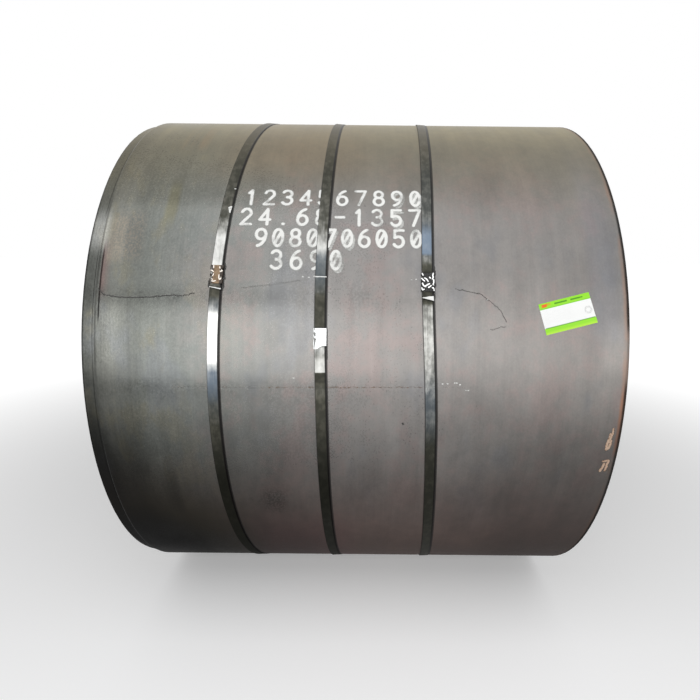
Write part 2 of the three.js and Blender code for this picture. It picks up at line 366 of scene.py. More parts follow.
# %% The straps' sizes
STRAP_WIDTH = 32 * MM
STRAPS = {
    # how far it runs askew, the angles of its two ends, and how far it curls up and swerves
    "left": {"twist": -0.6 * MM, "end": 19.9, "hidden": 26, "curl": 4.5 * MM, "sway": 0.0},
    "middle": {"twist": -7.4 * MM, "end": 22.5, "hidden": 8.6, "curl": 2 * MM, "sway": -3 * MM},
    "right": {"twist": -27.3 * MM, "end": 18.2, "hidden": 24.6, "curl": 4.5 * MM, "sway": -7 * MM},
}
for side, strap in STRAPS.items():
    strap_low, strap_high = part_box("strap_" + side)
    strap["middle"] = (strap_low.x + strap_high.x) / 2
    reach = (strap_high.x - strap_low.x - STRAP_WIDTH) / 2
    strap["lean"] = -math.sqrt(reach**2 - strap["twist"] ** 2)
    strap["seal"] = angle_of("seal_" + side)
    print(f"{side}: leans {strap['lean'] / MM:.1f} mm, seal at {math.degrees(strap['seal']):.1f}")


# %% Where the straps are worn, and where light and shadow are painted on them
WEAR_AND_PAINTED_LIGHT = {
    # angle in degrees, how bare the strap is there, which also places its painted highlights (below
    # 0 it is painted shadow), and how much painted blue sky reflection lies on the rest
    "left": [
        (-38, -0.3, 0), (-30, -0.12, 0), (-9, -0.22, 0), (-6.5, -0.1, 0), (-4.5, 0.09, 0),
        (-1, 0.07, 0.1), (0.7, 0.03, 0.35), (3, 0.09, 0.6), (5, 0.22, 0.6),
        (6.3, 0.5, 0.4), (7.4, 0.9, 0.2), (15, 1, 0), (16.2, 0.4, 0.3), (17.2, 0.22, 0.2),
        (18.2, 0.12, 0.1), (18.8, -0.1, 0), (24.5, 0.6, 0), (28.5, 0.52, 0), (30, 0.62, 0),
        (31, 0.46, 0), (32, 0.36, 0), (33, 0.27, 0), (34.5, 0.2, 0), (37, 0.1, 0), (41, 0.09, 0),
        (46, 0.03, 0), (52, 0.04, 0), (58, 0, 0),
    ],
    "middle": [
        (-30, 0.06, 0), (-20, 0, 0), (-9, -0.3, 0), (-6, -0.1, 0), (-4, 0.05, 0), (0, 0.05, 0),
        (2, 0.12, 0), (3.1, 0.04, 0), (3.5, -0.5, 0),
        (5, -0.5, 0), (5.25, 0.6, 0), (6, 0.58, 0), (8, 0.36, 0), (9.6, 0.42, 0.1), (12.6, -0.9, 0),
        (13.1, -0.9, 0), (13.5, -0.35, 0), (18.6, -0.35, 0), (19.6, 0.17, 0.05), (21.5, 0.08, 0.2),
        (25, 0.08, 0.3), (26.5, 0.24, 0.3), (28, 0.55, 0.05), (29, 0.5, 0), (30.5, 0.34, 0),
        (32, 0.23, 0), (34, 0.16, 0), (38, 0.11, 0), (44, 0.07, 0), (50, 0.03, 0), (58, 0, 0),
    ],
    "right": [
        (-34, 0.05, 0), (-20, 0, 0), (-9, 0, 0), (-7, 0.04, 0.1), (-4.5, 0.15, 0.2),
        (0, 0.13, 0.3), (2, 0.24, 0.25), (4, 0.32, 0.12),
        (6, 0.34, 0.05), (8, 0.39, 0), (10, 0.47, 0), (12, 0.43, 0), (14, 0.37, 0), (16, 0.4, 0),
        (17.3, 0.3, 0), (17.8, 0.05, 0), (18.1, -0.4, 0), (23.4, -0.6, 0), (24.1, -0.1, 0),
        (24.9, 0.08, 0),
        (25.7, 0.2, 0.05), (26.6, 0.26, 0.1), (27.2, 0.12, 0.9), (30.8, 0.13, 0.9), (31.8, 0.1, 0.7),
        (33, 0.13, 0.3), (35, 0.16, 0.1), (39, 0.16, 0.08), (44, 0.08, 0.08), (54, 0.1, 0),
        (62, 0.09, 0),
    ],
}

# %% Wind the straps
HAIR = 0.1 * MM  # less than points lie apart
LAYER = STRAP_THICKNESS + HAIR
APART = math.radians(0.02)  # points of a path closer than this are one
RISE = math.radians(2)  # the upper layer climbs over the hidden end in this
CURL = math.radians(0.7)  # the visible end turns outwards in this
CURL_POWER = 1.7
STRAP_ROUNDING = 0.6 * MM
STRAP_SHELF = 0.6 * MM


def run_of(strap):
    """The angles from the hidden end once round to the visible end, and the way they go."""
    start, stop = math.radians(strap["hidden"]), math.radians(strap["end"])
    way = 1 if stop > start else -1
    return start, way, TURN + abs(stop - start)


def strap_path(side):
    """The strap's middle line: a lower layer once round, then an upper one with a curled end."""
    strap = STRAPS[side]
    start, way, length = run_of(strap)
    gone = {0.0, TURN - RISE, TURN, length, length - CURL, length - CURL / 2, length - CURL / 4}
    corner = math.ceil(start / STEP) if way > 0 else -math.floor(start / STEP)
    first = corner * STEP - way * start
    while first < length:
        gone.add(first)
        first += STEP
    for angle, _, _ in WEAR_AND_PAINTED_LIGHT[side]:
        once = way * (math.radians(angle) - start) % TURN
        gone.update(done for done in (once, once + TURN) if done < length)
    path, last = [], -1
    for done in sorted(g for g in gone if g >= 0):
        if done - last < APART:
            continue
        last = done
        angle = start + way * done
        lift = LAYER * min(max((done - TURN + RISE) / RISE, 0), 1)
        curl = strap["curl"] * max(0, 1 - (length - done) / CURL) ** CURL_POWER
        tilt = strap_tilt(angle)
        radius = strap_bed(angle) + STRAP_THICKNESS / 2 + lift + curl
        radius += math.sin(tilt) * STRAP_WIDTH / 2
        path.append((angle, radius, strap_place(strap, angle), way * tilt))
    return path


strap_section = rounded_section(STRAP_WIDTH, STRAP_THICKNESS, STRAP_ROUNDING, STRAP_SHELF)
strap_bands = {}
for side in STRAPS:
    strap_bands[side] = wound(f"strap_{side}_band", strap_path(side), strap_section)
for band in strap_bands.values():
    smooth(band, 50)
    describe(band)


# %% Cut the tips askew
TIPS = {
    # how much higher the left corner is, and how many mm of bright cut steel and painted highlight
    # show at the left and right
    "left": (5 * MM, 3.5, 4.0),
    "middle": (0, 2.6, 2.6),
    "right": (6 * MM, 3.5, 14.0),
}
TIP_GIVE = 14 * MM  # how far from a moved corner the band follows


def seen_at(co):
    """The angle of a point on the coil, and how far out it is."""
    return math.atan2(co.z - AXIS_HEIGHT, -co.y), math.hypot(co.y, co.z - AXIS_HEIGHT)


def is_corner(co, side):
    """Whether a point of a band is at the left corner of its visible end."""
    tip = math.radians(STRAPS[side]["end"])
    angle, radius = seen_at(co)
    on_top = radius > strap_bed(tip) + LAYER
    return on_top and abs(angle - tip) < 3 * APART and co.x < strap_place(STRAPS[side], tip)


for side, (slant, _, _) in TIPS.items():
    if slant:
        tip = math.radians(STRAPS[side]["end"])
        move = (0, slant * math.sin(tip), slant * math.cos(tip))
        push(strap_bands[side], lambda co, side=side: is_corner(co, side), move, TIP_GIVE)


# %% [markdown]
# ## Seals
# A seal is a small channel of sheet steel that was slid over the two ends of a strap and
# crimped with a tool. A flat grid is a good start for it: its two long sides are folded
# down as on a press. The tool bit each seal at its sides, which are pushed in with a soft
# falloff, as the sheet stretches round the tool's jaws. The right seal also has a
# herringbone of low ridges. The sheet gets its wall last, so that the wall follows every
# dent. The grid is fine enough for the smallest dent to be round.
# %% Grids, and how far their points lie from lines
def away_from(line, places):
    """How far each place lies from a line through some points."""
    away = np.full(len(places), np.inf)
    corners = np.array(line)
    for start, stop in zip(corners[:-1], corners[1:]):
        run = stop - start
        share = np.clip((places - start) @ run / max(run @ run, 1e-12), 0, 1)
        away = np.minimum(away, np.linalg.norm(places - start - share[:, None] * run, axis=1))
    return away


def gain(beyond, width):
    """0 as far as a border, and from there up to 1 within a width."""
    return np.clip(beyond / width, 0, 1)


def store(piece, name, values):
    """Stores a number for each point of a piece, for its finish to read."""
    piece.data.attributes.new(name, "FLOAT", "POINT").data.foreach_set("value", values)


def flat_places(piece):
    """The points' places along X and Y, as rows of an array."""
    places = np.zeros(len(piece.data.vertices) * 3)
    piece.data.vertices.foreach_get("co", places)
    return places.reshape(-1, 3)[:, :2]


def grid(name, width, height, cell):
    """A flat upright-facing grid round the origin, with cells of about one size."""
    bpy.ops.object.select_all(action="DESELECT")
    columns, rows = max(2, round(width / cell)), max(2, round(height / cell))
    bpy.ops.mesh.primitive_grid_add(x_subdivisions=columns, y_subdivisions=rows, size=1)
    piece = bpy.context.view_layer.objects.active
    piece.name = piece.data.name = name
    piece.scale = (width, height, 1)
    return place_in_mesh(piece)


def lay(piece, place, radius, angle, slope=0.0, tilt=0.0):
    """Lays a flat piece on the coil: its X runs along the axis and its Z points outwards."""
    piece.rotation_mode = "ZYX"
    piece.rotation_euler = (math.pi / 2 - angle, tilt, slope)
    piece.location = on_coil(place, radius, angle)
    return piece


# %% One folded channel
SEAL_WIDTH = 38 * MM
SEAL_LENGTH = 54 * MM
SEAL_WALL = 1.2 * MM
SEAL_DEPTH = 2 * LAYER + SEAT  # from the underside of the roof down to the open side
SEAL_BEND = 1.2 * MM
SEAL_CELL = 1.1 * MM
BITE_INSET = 2 * MM  # a bite starts this far inside the channel's side
BITE_HALF = 1.6 * MM
BITE_DROP = 0.4 * MM
GIVE = 3.2 * MM  # how far round a bite the sheet follows
LIP_OFF = 5 * MM  # the curled lip lies this far beside the bite
LIP_HALF = 1.7 * MM
LIP_RISE = 2.0 * MM
LIP_GIVE = 2.4 * MM


def folded_channel(name):
    """The channel's middle sheet, open below, with its roof at Z = 0."""
    width = SEAL_WIDTH - SEAL_WALL
    piece = grid(name, width, SEAL_LENGTH, SEAL_CELL)

    def at_side(point):
        return abs(point.co.x) > width / 2 - HAIR

    def at_fold(point):
        return at_side(point) and point.co.z > -HAIR

    down = {"value": (0, 0, -SEAL_DEPTH - SEAL_WALL / 2)}
    edit(piece, at_side, bpy.ops.mesh.extrude_region_move, TRANSFORM_OT_translate=down)
    edit(piece, at_fold, bpy.ops.mesh.bevel, offset=SEAL_BEND, segments=3, affect="EDGES")
    return piece


def notch(piece, side, along, depth=4.5 * MM):
    """One bite of the tool: the wall goes in and the lip beside it curls up."""
    edge = SEAL_WIDTH / 2 - BITE_INSET

    def bitten(co):
        return side * co.x > edge and abs(co.y - along) < BITE_HALF

    def on_lip(co):
        beside = abs(side * co.x - edge + GIVE) < BITE_HALF
        return beside and abs(co.y - along - LIP_OFF) < LIP_HALF

    push(piece, bitten, (-side * depth, 0, -BITE_DROP), GIVE)
    push(piece, on_lip, (0, 0, LIP_RISE), LIP_GIVE)


# %% Where the tool rubbed the seals bright, with painted highlights, and the painted shade in the dents
CURLS = [
    # lines of (across, along) in mm, from the seal's middle
    [(-10, 25), (-9.4, 19)],
    [(-17.4, 11.6), (-12.4, 10.2), (-8.8, 7.3)],
    [(-8, 1), (-10, -4.4)],
    [(-17.7, -10.2), (-14.1, -12.1), (-9.9, -15.5)],
    [(-11.4, -19.8), (-6.4, -20.8), (-0.8, -19.3)],
    [(7.7, 21.8), (9, 18)],
    [(14.4, 13), (15.6, 10.2), (12.4, 8.2), (9.9, 9.2)],
    [(7.6, -2), (8.2, -5.5), (8, -10.2), (10.4, -15), (14.1, -13), (15, -8.2)],
]
RIDGES = [
    [(-15.4, 25.4), (-13.2, 20.1)],
    [(-17.6, 12.3), (-14.5, 8), (-9.4, 3.6)],
    [(-15, -2.7), (-13.2, -8.5), (-7.2, -12.9), (-5, -9.5), (4.5, -4.7)],
    [(-18, -16), (-15, -22), (-11, -20.5)],
    [(-8.5, 12.3), (-3.3, 8.9), (0.6, 2.6)],
    [(5.4, 13.8), (7.5, 11.8)],
    [(1.9, -15.3), (5.4, -12.9), (8.8, -10.5)],
    [(15.5, 25), (14, 18.6), (15.3, 13.8), (13, 8.9)],
    [(16.2, 7), (16.6, -0.8), (14.4, -7.6), (16.2, -10.5)],
    [(12.3, -16.8), (14.9, -16.3), (16.6, -21.1), (18, -25)],
]
# the middle seal's dents, painted grey as shade
DENTS = [[(-15, 13.5), (-11, 12.2)], [(-15.5, -7), (-12, -3.5), (-8.5, -5)]]


def near_lines(piece, lines, half_width, soft=1.0 * MM):
    """For each point 1 on any of the lines, given in mm, and 0 beside them."""
    places = flat_places(piece)
    away = np.min([away_from(np.array(line) * MM, places) for line in lines], axis=0)
    return gain(half_width + soft - away, soft)


# %% Crimp and place the seals
BITES = {
    # the side, how far along, and how deep where it isn't the usual depth
    "left": [(1, -9 * MM), (-1, -8 * MM), (1, 15 * MM), (-1, 5 * MM)],
    "middle": [(-1, 13 * MM, 1.2 * MM), (-1, -3 * MM, 1.2 * MM)],
    "right": [(1, -13 * MM), (-1, 16 * MM)],
}
BENT = [
    # the middle seal's lower corners: the side, where each starts, its move and its reach
    (-1, 12 * MM, -4 * MM, 14 * MM),
    (1, 8 * MM, 5 * MM, 16 * MM),
]
LOWER_EDGE = -26 * MM
RIDGE_HEIGHT = 0.8 * MM
NEAR_ROOF = 0.5 * MM
CURL_HALF, DENT_HALF, RIDGE_HALF = 0.9 * MM, 0.6 * MM, 1.1 * MM  # half the width of each line
DENT_DARK = 0.4
# The borders of the left seal, and the right side of the middle one, are painted dark as shade.
SHADED, SHADED_SOFT = 8.5 * MM, 2.5 * MM  # the left seal is dark beyond this, on both sides
RIM, RIM_SOFT = 17.2 * MM, 0.8 * MM  # and the middle one beyond this, at the right


def raise_ridges(piece, bright):
    """Lifts the roof where the tool rubbed it bright, along its painted highlights."""
    raised = {index for index, value in enumerate(bright) if value > 0.5}

    def on_ridge(point):
        return point.index in raised and point.co.z > -NEAR_ROOF

    edit(piece, on_ridge, bpy.ops.transform.translate, value=(0, 0, RIDGE_HEIGHT))


def bend_corners(piece):
    """Bends the lower edge of the middle seal's roof."""
    for way, start, move, reach in BENT:
        push(
            piece,
            lambda co, way=way, start=start: way * co.x > start and co.y < LOWER_EDGE,
            (0, move, 0), reach,
        )


def worked(piece, side):
    """Works one seal's channel with the tool. Says how bright each point is, where wear carries a
    painted highlight, and how much painted shade it has.
    """
    for bite in BITES[side]:
        notch(piece, *bite)
    across = flat_places(piece)[:, 0]
    bright = painted_seal_shade = np.zeros(len(across))
    if side == "left":
        bright = near_lines(piece, CURLS, CURL_HALF)
        painted_seal_shade = gain(np.abs(across) - SHADED, SHADED_SOFT)
    elif side == "middle":
        dents = near_lines(piece, DENTS, DENT_HALF)
        painted_seal_shade = np.maximum(gain(across - RIM, RIM_SOFT), dents * DENT_DARK)
        bend_corners(piece)
    else:
        bright = near_lines(piece, RIDGES, RIDGE_HALF)
        raise_ridges(piece, bright)
    return bright, painted_seal_shade * (1 - bright)


def crimped_seal(side):
    """A seal, crimped and laid on its strap."""
    strap = STRAPS[side]
    piece = folded_channel(f"seal_{side}_channel")
    bright, painted_seal_shade = worked(piece, side)
    store(piece, "bright", bright)
    store(piece, "painted_seal_shade", painted_seal_shade)
    apply_modifier(piece, "SOLIDIFY", thickness=SEAL_WALL, offset=0)
    angle = strap["seal"]
    tilt = strap_tilt(angle)
    roof = strap_bed(angle) + SEAL_DEPTH + SEAL_WALL / 2 + math.sin(tilt) * STRAP_WIDTH / 2
    uphill = -strap["lean"] * math.sin(angle) + strap["twist"] * math.cos(angle)
    slope = math.atan2(uphill, COIL_RADIUS)
    lay(piece, strap_place(strap, angle), roof, angle, -slope, -tilt)
    return finished(piece, 40)


seals = {side: crimped_seal(side) for side in STRAPS}

# %% [markdown]
# ## Label
# The label is a paper sticker, stuck on askew near the right end. It bends with the coil,
# and its lower right corner has let go a little. Shrinkwrap presses the grid onto the
# strip as a hand does, from outside, and the loose corner is pulled up again afterwards.
# %% Stick the label on
def press_on(piece, gap, target=coil):
    """Presses a laid piece onto the strip or another piece, and keeps a gap between them."""
    return apply_modifier(
        piece, "SHRINKWRAP", target=target, wrap_method="PROJECT", use_project_z=True,
        use_positive_direction=True, use_negative_direction=True, offset=gap,
    )


LABEL_LENGTH, LABEL_HEIGHT = 147 * MM, 89 * MM
LABEL_TURN = math.radians(14.6)
LABEL_CELL = 4 * MM
LABEL_START = 10 * MM  # far enough out for the flat sheet to clear the coil
PAPER = 0.25 * MM
GLUE_GAP = 0.5 * MM
LOOSE_WIDTH, LOOSE_HEIGHT = 12 * MM, 10 * MM
LOOSE_RISE, LOOSE_GIVE = 2 * MM, 20 * MM
label_middle = (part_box("label")[0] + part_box("label")[1]) / 2
label_angle = angle_of("label")


def loose(co):
    """Whether a point of the label is at its lower right corner."""
    at_right = co.x > LABEL_LENGTH / 2 - LOOSE_WIDTH
    return at_right and co.y < -LABEL_HEIGHT / 2 + LOOSE_HEIGHT


label = grid("label_sheet", LABEL_LENGTH, LABEL_HEIGHT, LABEL_CELL)
lay(label, label_middle.x, COIL_RADIUS + LABEL_START, label_angle, LABEL_TURN)
press_on(label, GLUE_GAP)
push(label, loose, outwards(LOOSE_RISE, label_angle), LOOSE_GIVE)
apply_modifier(label, "SOLIDIFY", thickness=PAPER, offset=-1)
finished(label, 40)

# %% [markdown]
# ## Sprayed numbers and other marks
# The numbers were sprayed on by a machine, one soft stroke after another. Each mark is a
# thin film over the strip or over a strap: a fine grid whose points know how near they are
# to a stroke, so that the finish can make it opaque in the middle, speckled at its border
# and absent beyond. That keeps the marks sharp, however coarse the mesh under them is. The
# scratches, specks and rust smears are made in the same way.
# %% Strokes
def bow(x, y, half_width, half_height, start, stop, steps=14):
    """Points along a part of an ellipse. The angles are in degrees."""
    angles = [math.radians(start + (stop - start) * i / steps) for i in range(steps + 1)]
    return [(x + half_width * math.cos(a), y + half_height * math.sin(a)) for a in angles]


CHARACTERS = {
    "0": [bow(0.5, 0.5, 0.46, 0.5, 0, 360, 24), [(0.25, 0.22), (0.75, 0.78)]],
    "1": [[(0.25, 0.8), (0.55, 1), (0.55, 0)]],
    "2": [bow(0.5, 0.72, 0.45, 0.28, 165, -25) + [(0.02, 0), (1, 0)]],
    "3": [bow(0.45, 0.75, 0.45, 0.25, 150, -90), bow(0.45, 0.26, 0.5, 0.26, 90, -150)],
    "4": [[(0.75, 0), (0.75, 1), (0, 0.3), (1, 0.3)]],
    "5": [[(0.95, 1), (0.1, 1), (0.08, 0.56)] + bow(0.45, 0.31, 0.5, 0.31, 125, -150)],
    "6": [bow(0.5, 0.3, 0.48, 0.3, 0, 360, 20), bow(0.9, 0.3, 0.88, 0.7, 180, 98, 8)],
    "7": [[(0, 1), (1, 1), (0.35, 0)]],
    "8": [bow(0.5, 0.76, 0.4, 0.24, 0, 360, 18), bow(0.5, 0.27, 0.48, 0.27, 0, 360, 20)],
    "9": [bow(0.5, 0.7, 0.48, 0.3, 0, 360, 20), bow(0.1, 0.7, 0.88, 0.7, 0, -82, 8)],
    ".": [[(0.45, 0.04), (0.55, 0.04)]],
    "-": [[(0.1, 0.5), (0.9, 0.5)]],
}

# %% A film with strokes on it
FILM_START = 40 * MM  # far enough out for a flat film to clear the round coil
FILM_GAP = 0.12 * MM
HAZE_SHARE, HAZE_POWER = 0.3, 1.5  # how dense the haze round a stroke is, and how it fades
NOTHING = 0.001  # a film ends where there is no more than this of its mark


def covered(places, strokes, soft, haze, reach):
    """How much of a mark there is at each place: all of it on a stroke, none at a reach."""
    cover = np.zeros(len(places))
    for points, half, opaque in strokes:
        corners = np.array(points)
        near = np.all(places > corners.min(axis=0) - reach, axis=1)
        near &= np.all(places < corners.max(axis=0) + reach, axis=1)
        away = away_from(points, places[near])
        core = gain(half + soft - away, soft)
        level = core * core * (3 - 2 * core) * opaque
        if haze:
            dusted = HAZE_SHARE * np.clip(1 - away / reach, 0, 1) ** HAZE_POWER
            level = np.maximum(level, dusted * opaque)
        cover[near] = np.maximum(cover[near], level)
    return cover


def film(name, strokes, angle, cell, soft, haze=0.0, target=coil):
    """A film over the strip, or over another target. A stroke is (points, half its width, how
    opaque it is), with its points counted along the axis and up from the film's angle."""
    reach = max(half for _, half, _ in strokes) + soft + haze
    ends = np.array([point for points, _, _ in strokes for point in points])
    low, high = ends.min(axis=0) - reach, ends.max(axis=0) + reach
    middle = (low + high) / 2
    piece = grid(name, *(high - low), cell)
    cover = covered(flat_places(piece) + middle, strokes, soft, haze, reach)
    store(piece, "cover", cover)

    bare = {index for index, level in enumerate(cover) if level <= NOTHING}

    def is_bare(face):
        return bare.issuperset(face.vertices)

    edit(piece, is_bare, bpy.ops.mesh.delete, "FACE", type="FACE")
    lay(piece, middle[0], COIL_RADIUS + FILM_START, angle + middle[1] / COIL_RADIUS)
    press_on(piece, FILM_GAP, target)
    return finished(piece, 60)


# %% Spray the numbers
LETTER_WIDTH, LETTER_HEIGHT = 29 * MM, 54 * MM
SPRAY_HALF = 2.7 * MM
SPRAY_CELL, SPRAY_SOFT, SPRAY_HAZE = 2.2 * MM, 5 * MM, 12 * MM
AGAIN_RIGHT, AGAIN_DOWN = 6 * MM, 9 * MM  # how far off a letter is struck again
NUMBERS_ANGLE = math.radians(32)
ROWS = [
    # text, middle of the first letter, distance to the next, angle, letters struck twice
    ("1234567890", -313 * MM, 54.2 * MM, 39.3, (8, 9)),
    ("24.68-1357", -320.5 * MM, 54.7 * MM, 34.7, (8,)),
    ("9080706050", -272.5 * MM, 49.6 * MM, 30.2, (4, 5)),
    ("3690", -223.5 * MM, 56 * MM, 25.8, (3,)),
]


def letter(character, x, y, opaque):
    """A character's strokes, with its middle at a point."""
    made = []
    for line in CHARACTERS[character]:
        points = [(x + (u - 0.5) * LETTER_WIDTH, y + (v - 0.5) * LETTER_HEIGHT) for u, v in line]
        made.append((points, SPRAY_HALF, opaque))
    return made


strokes = []
for text, first, advance, angle, twice in ROWS:
    y = (math.radians(angle) - NUMBERS_ANGLE) * COIL_RADIUS
    for index, character in enumerate(text):
        x = first + advance * index
        strokes += letter(character, x, y, 1.0)
        if index in twice:
            strokes += letter(character, x + AGAIN_RIGHT, y - AGAIN_DOWN, 0.6)
numbers = film(
    "sprayed_numbers", strokes, NUMBERS_ANGLE, SPRAY_CELL, SPRAY_SOFT, SPRAY_HAZE
)

# %% Lines on the coil, and scratches
def line_on_coil(points, angle):
    """Turns (place in mm, angle in degrees) into points on a film at an angle."""
    return [(x * MM, (math.radians(a) - angle) * COIL_RADIUS) for x, a in points]


def ragged(points, wander, seed, step=6 * MM):
    """Breaks a line into short steps that stray a little to both sides."""
    chance = np.random.default_rng(seed)
    made = [points[0]]
    for start, stop in zip(points[:-1], points[1:]):
        count = max(1, round(math.dist(start, stop) / step))
        for index in range(1, count + 1):
            share = index / count
            stray = chance.normal(0, wander, 2) if index < count else (0, 0)
            made.append(tuple(a + (b - a) * share + s for a, b, s in zip(start, stop, stray)))
    return made


FINE_CELL = 1.2 * MM
FINE_SOFT = 1.2 * MM
SCRATCH_ANGLE = math.radians(18)
SCRATCH_HALF, SCRATCH_WANDER = 0.7 * MM, 0.9 * MM
scratch_lines = [
    [
        (-718, 19.9), (-706, 19.0), (-699, 18.75), (-645, 18.3),
        (-575, 18.4), (-505, 18.9), (-495, 18.65), (-449, 19.2),
    ],
    [(-318, 20.3), (-240, 20.9), (-155, 21.8)],
    [(282, 20.5), (353, 19.6), (408, 16.7), (424, 14.6)],
    [(380, 13.2), (422, 13.7)],
]
scratches = []
for index, (line, opaque) in enumerate(zip(scratch_lines, (0.9, 0.4, 0.6, 0.45))):
    points = ragged(line_on_coil(line, SCRATCH_ANGLE), SCRATCH_WANDER, seed=index)
    strokes = [(points, SCRATCH_HALF, opaque)]
    name = f"scratch_{index + 1}"
    scratches.append(film(name, strokes, SCRATCH_ANGLE, FINE_CELL, FINE_SOFT))


# %% Rust, a faint dotted line and specks
SMEAR_ANGLE = math.radians(-11)
SMEAR_CELL, SMEAR_SOFT, SMEAR_HAZE = 1.4 * MM, 2.5 * MM, 5 * MM
SMEAR_WANDER, SMEAR_STEP = 1 * MM, 4 * MM
SMEARS = [
    # strands of (place, angle), with half the width in mm and how dense each is
    [
        ([(744.5, -4.9), (743.5, -6.2), (742.5, -7.4)], 1.3, 0.9),
        ([(738.5, -6.0), (737, -7.2)], 2.6, 0.75),
        (
            [(743, -7.4), (736, -7.2), (732.5, -8.4), (734, -9.2), (740, -8.9), (742.5, -7.8)],
            2.3, 1.0,
        ),
    ],
    [
        ([(733, -11.8), (747, -11.6), (747, -13.0), (743.5, -13.9)], 2.4, 0.95),
        ([(737, -12.4), (734, -13.2), (730, -14.0)], 2.8, 1.0),
    ],
]
chance = np.random.default_rng(7)
smears = []
for index, strands in enumerate(SMEARS):
    strokes = []
    for number, (strand, half, dense) in enumerate(strands):
        points = ragged(line_on_coil(strand, SMEAR_ANGLE), SMEAR_WANDER, number, SMEAR_STEP)
        strokes.append((points, half * MM, dense))
    name = f"rust_smear_{index + 1}"
    smears.append(film(name, strokes, SMEAR_ANGLE, SMEAR_CELL, SMEAR_SOFT, SMEAR_HAZE))

DOTS_ANGLE = math.radians(2.8)
DOTS, DOTS_START, DOTS_APART = 168, -510, 5  # the last two in mm
LEVEL, LEVEL_DOTS, CLIMB = 2.4, 50, 0.003  # it is level at first, then climbs, in degrees
STRONG_FROM, STRONG_TO = -240, 190  # it shows best between these, in mm
strokes = []
for dot in range(DOTS):
    x = DOTS_START + DOTS_APART * dot + chance.normal(0, 1)
    angle = LEVEL + CLIMB * max(0, dot - LEVEL_DOTS) + chance.normal(0, 0.06)
    spot = line_on_coil([(x, angle)], DOTS_ANGLE)[0]
    strong = 0.9 if STRONG_FROM < x < STRONG_TO else 0.35
    size = chance.uniform(0.3, 1.1) * MM
    end = (spot[0] + chance.uniform(1, 5) * MM, spot[1])
    strokes.append(([spot, end], size, strong * chance.uniform(0.2, 0.8)))
dotted_line = film("dotted_line", strokes, DOTS_ANGLE, FINE_CELL, 1.4 * MM)

# %% Paint specks, and painted shadows beside the seals
def beside(side, line):
    """Turns (mm from a strap's middle, angle) into (place in mm, angle)."""
    return [(strap_place(STRAPS[side], math.radians(a)) / MM + off, a) for off, a in line]


def dabs(name, lines, angle, half, opaque, target=coil):
    """A film with short lines, each given as (place, angle) points."""
    strokes = [(line_on_coil(line, angle), half, opaque) for line in lines]
    return film(name, strokes, angle, FINE_CELL, FINE_SOFT, target=target)


speck_places = [
    (248, 3.4), (262, 3.45), (282, 3.6), (288, 3.6), (297, 3.3), (314, 2.3), (321, 2.3),
    (-170, 4.2), (-148, 22.4), (-131, 22.3), (-116, 22.5), (158, 22), (171, 22.1), (370, 18.5),
]
speck_lines = [[(x, a), (x + 2, a)] for x, a in speck_places]
SPECKS_ANGLE = math.radians(10)
specks = dabs("paint_specks", speck_lines, SPECKS_ANGLE, 1.5 * MM, 0.8)
SPLASH_ANGLE = math.radians(38)
splashes = [
    beside("left", [(9, 41.3), (12, 41.3)]),
    beside("left", [(5.5, 36.6), (12, 36.9), (11, 35.5), (5.5, 36.6)]),
]
splash = dabs("paint_splash", splashes, SPLASH_ANGLE, 1.3 * MM, 0.95, strap_bands["left"])
SHADOWS_ANGLE = math.radians(21)
# Painted shadows on the strip beside the seals, where their flanks and sides are in shade
SEAL_SHADOWS = {
    "left": [
        [(20, 24.6), (21, 22.4), (20, 19.8)],
        [(22, 24.2), (22.5, 23.6)],
        [(22, 22.6), (23.5, 21.8)],
        [(21.5, 20.8), (22.5, 20.3)],
        [(-20, 21.4), (-20, 20.4)],
    ],
    "right": [
        [(19.5, 24.4), (20, 22), (19.5, 18.6)],
        [(21, 23.6), (21.5, 23)],
        [(21.5, 21.4), (22, 20.8)],
    ],
    "middle": [[(18.5, 12.8), (18.5, 7.6)]],
}
shadow_and_dirt_lines = [beside(side, line) for side, lines in SEAL_SHADOWS.items() for line in lines]
# and one speck of dirt
shadow_and_dirt_lines.append([(139, -4.0), (141, -4.2)])
seal_dirt = dabs("seal_dirt", shadow_and_dirt_lines, SHADOWS_ANGLE, 1.8 * MM, 0.8)

# %% [markdown]
# ## Helpers for finishes
# A material is a little network of nodes. Written out one by one they hide what they do,
# so an output socket is wrapped in a class that knows how to add and multiply: an
# expression such as `1 - mask * 0.5` then builds its own Math nodes. Any other node comes
# from one method, which takes its type, its settings and what goes into its sockets.
# %% Sockets that can be used in sums
class Wire:
    """An output socket. Sums on it add Math nodes to the finish that it belongs to."""

    def __init__(self, finish, socket):
        self.finish = finish
        self.socket = socket

    def math(self, operation, *others):
        values = dict(enumerate((self, *others)))
        return self.finish.node("Math", {"operation": operation}, values)

    def __add__(self, other):
        return self.math("ADD", other)

    def __sub__(self, other):
        return self.math("SUBTRACT", other)

    def __rsub__(self, other):
        return self.finish.node("Math", {"operation": "SUBTRACT"}, {0: other, 1: self})

    def __mul__(self, other):
        return self.math("MULTIPLY", other)

    def __truediv__(self, other):
        return self.math("DIVIDE", other)

    def __or__(self, other):
        """The larger of the two."""
        return self.math("MAXIMUM", other)

    __radd__ = __add__
    __rmul__ = __mul__

    def hypot(self, other):
        """How far a point is from 0, as two of its numbers tell."""
        return (self * self + other * other).math("SQRT")

    def between(self, low, high):
        """0 at low, 1 at high and a smooth rise from one to the other."""
        settings = {"interpolation_type": "SMOOTHSTEP", "clamp": True}
        values = {"Value": self, "From Min": low, "From Max": high}
        return self.finish.node("MapRange", settings, values)

    def near(self, middle, reach, full=0.3):
        """1 near a middle, from there down to 0 at a reach from it."""
        return ((self - middle) / reach).math("ABSOLUTE").between(1, full)


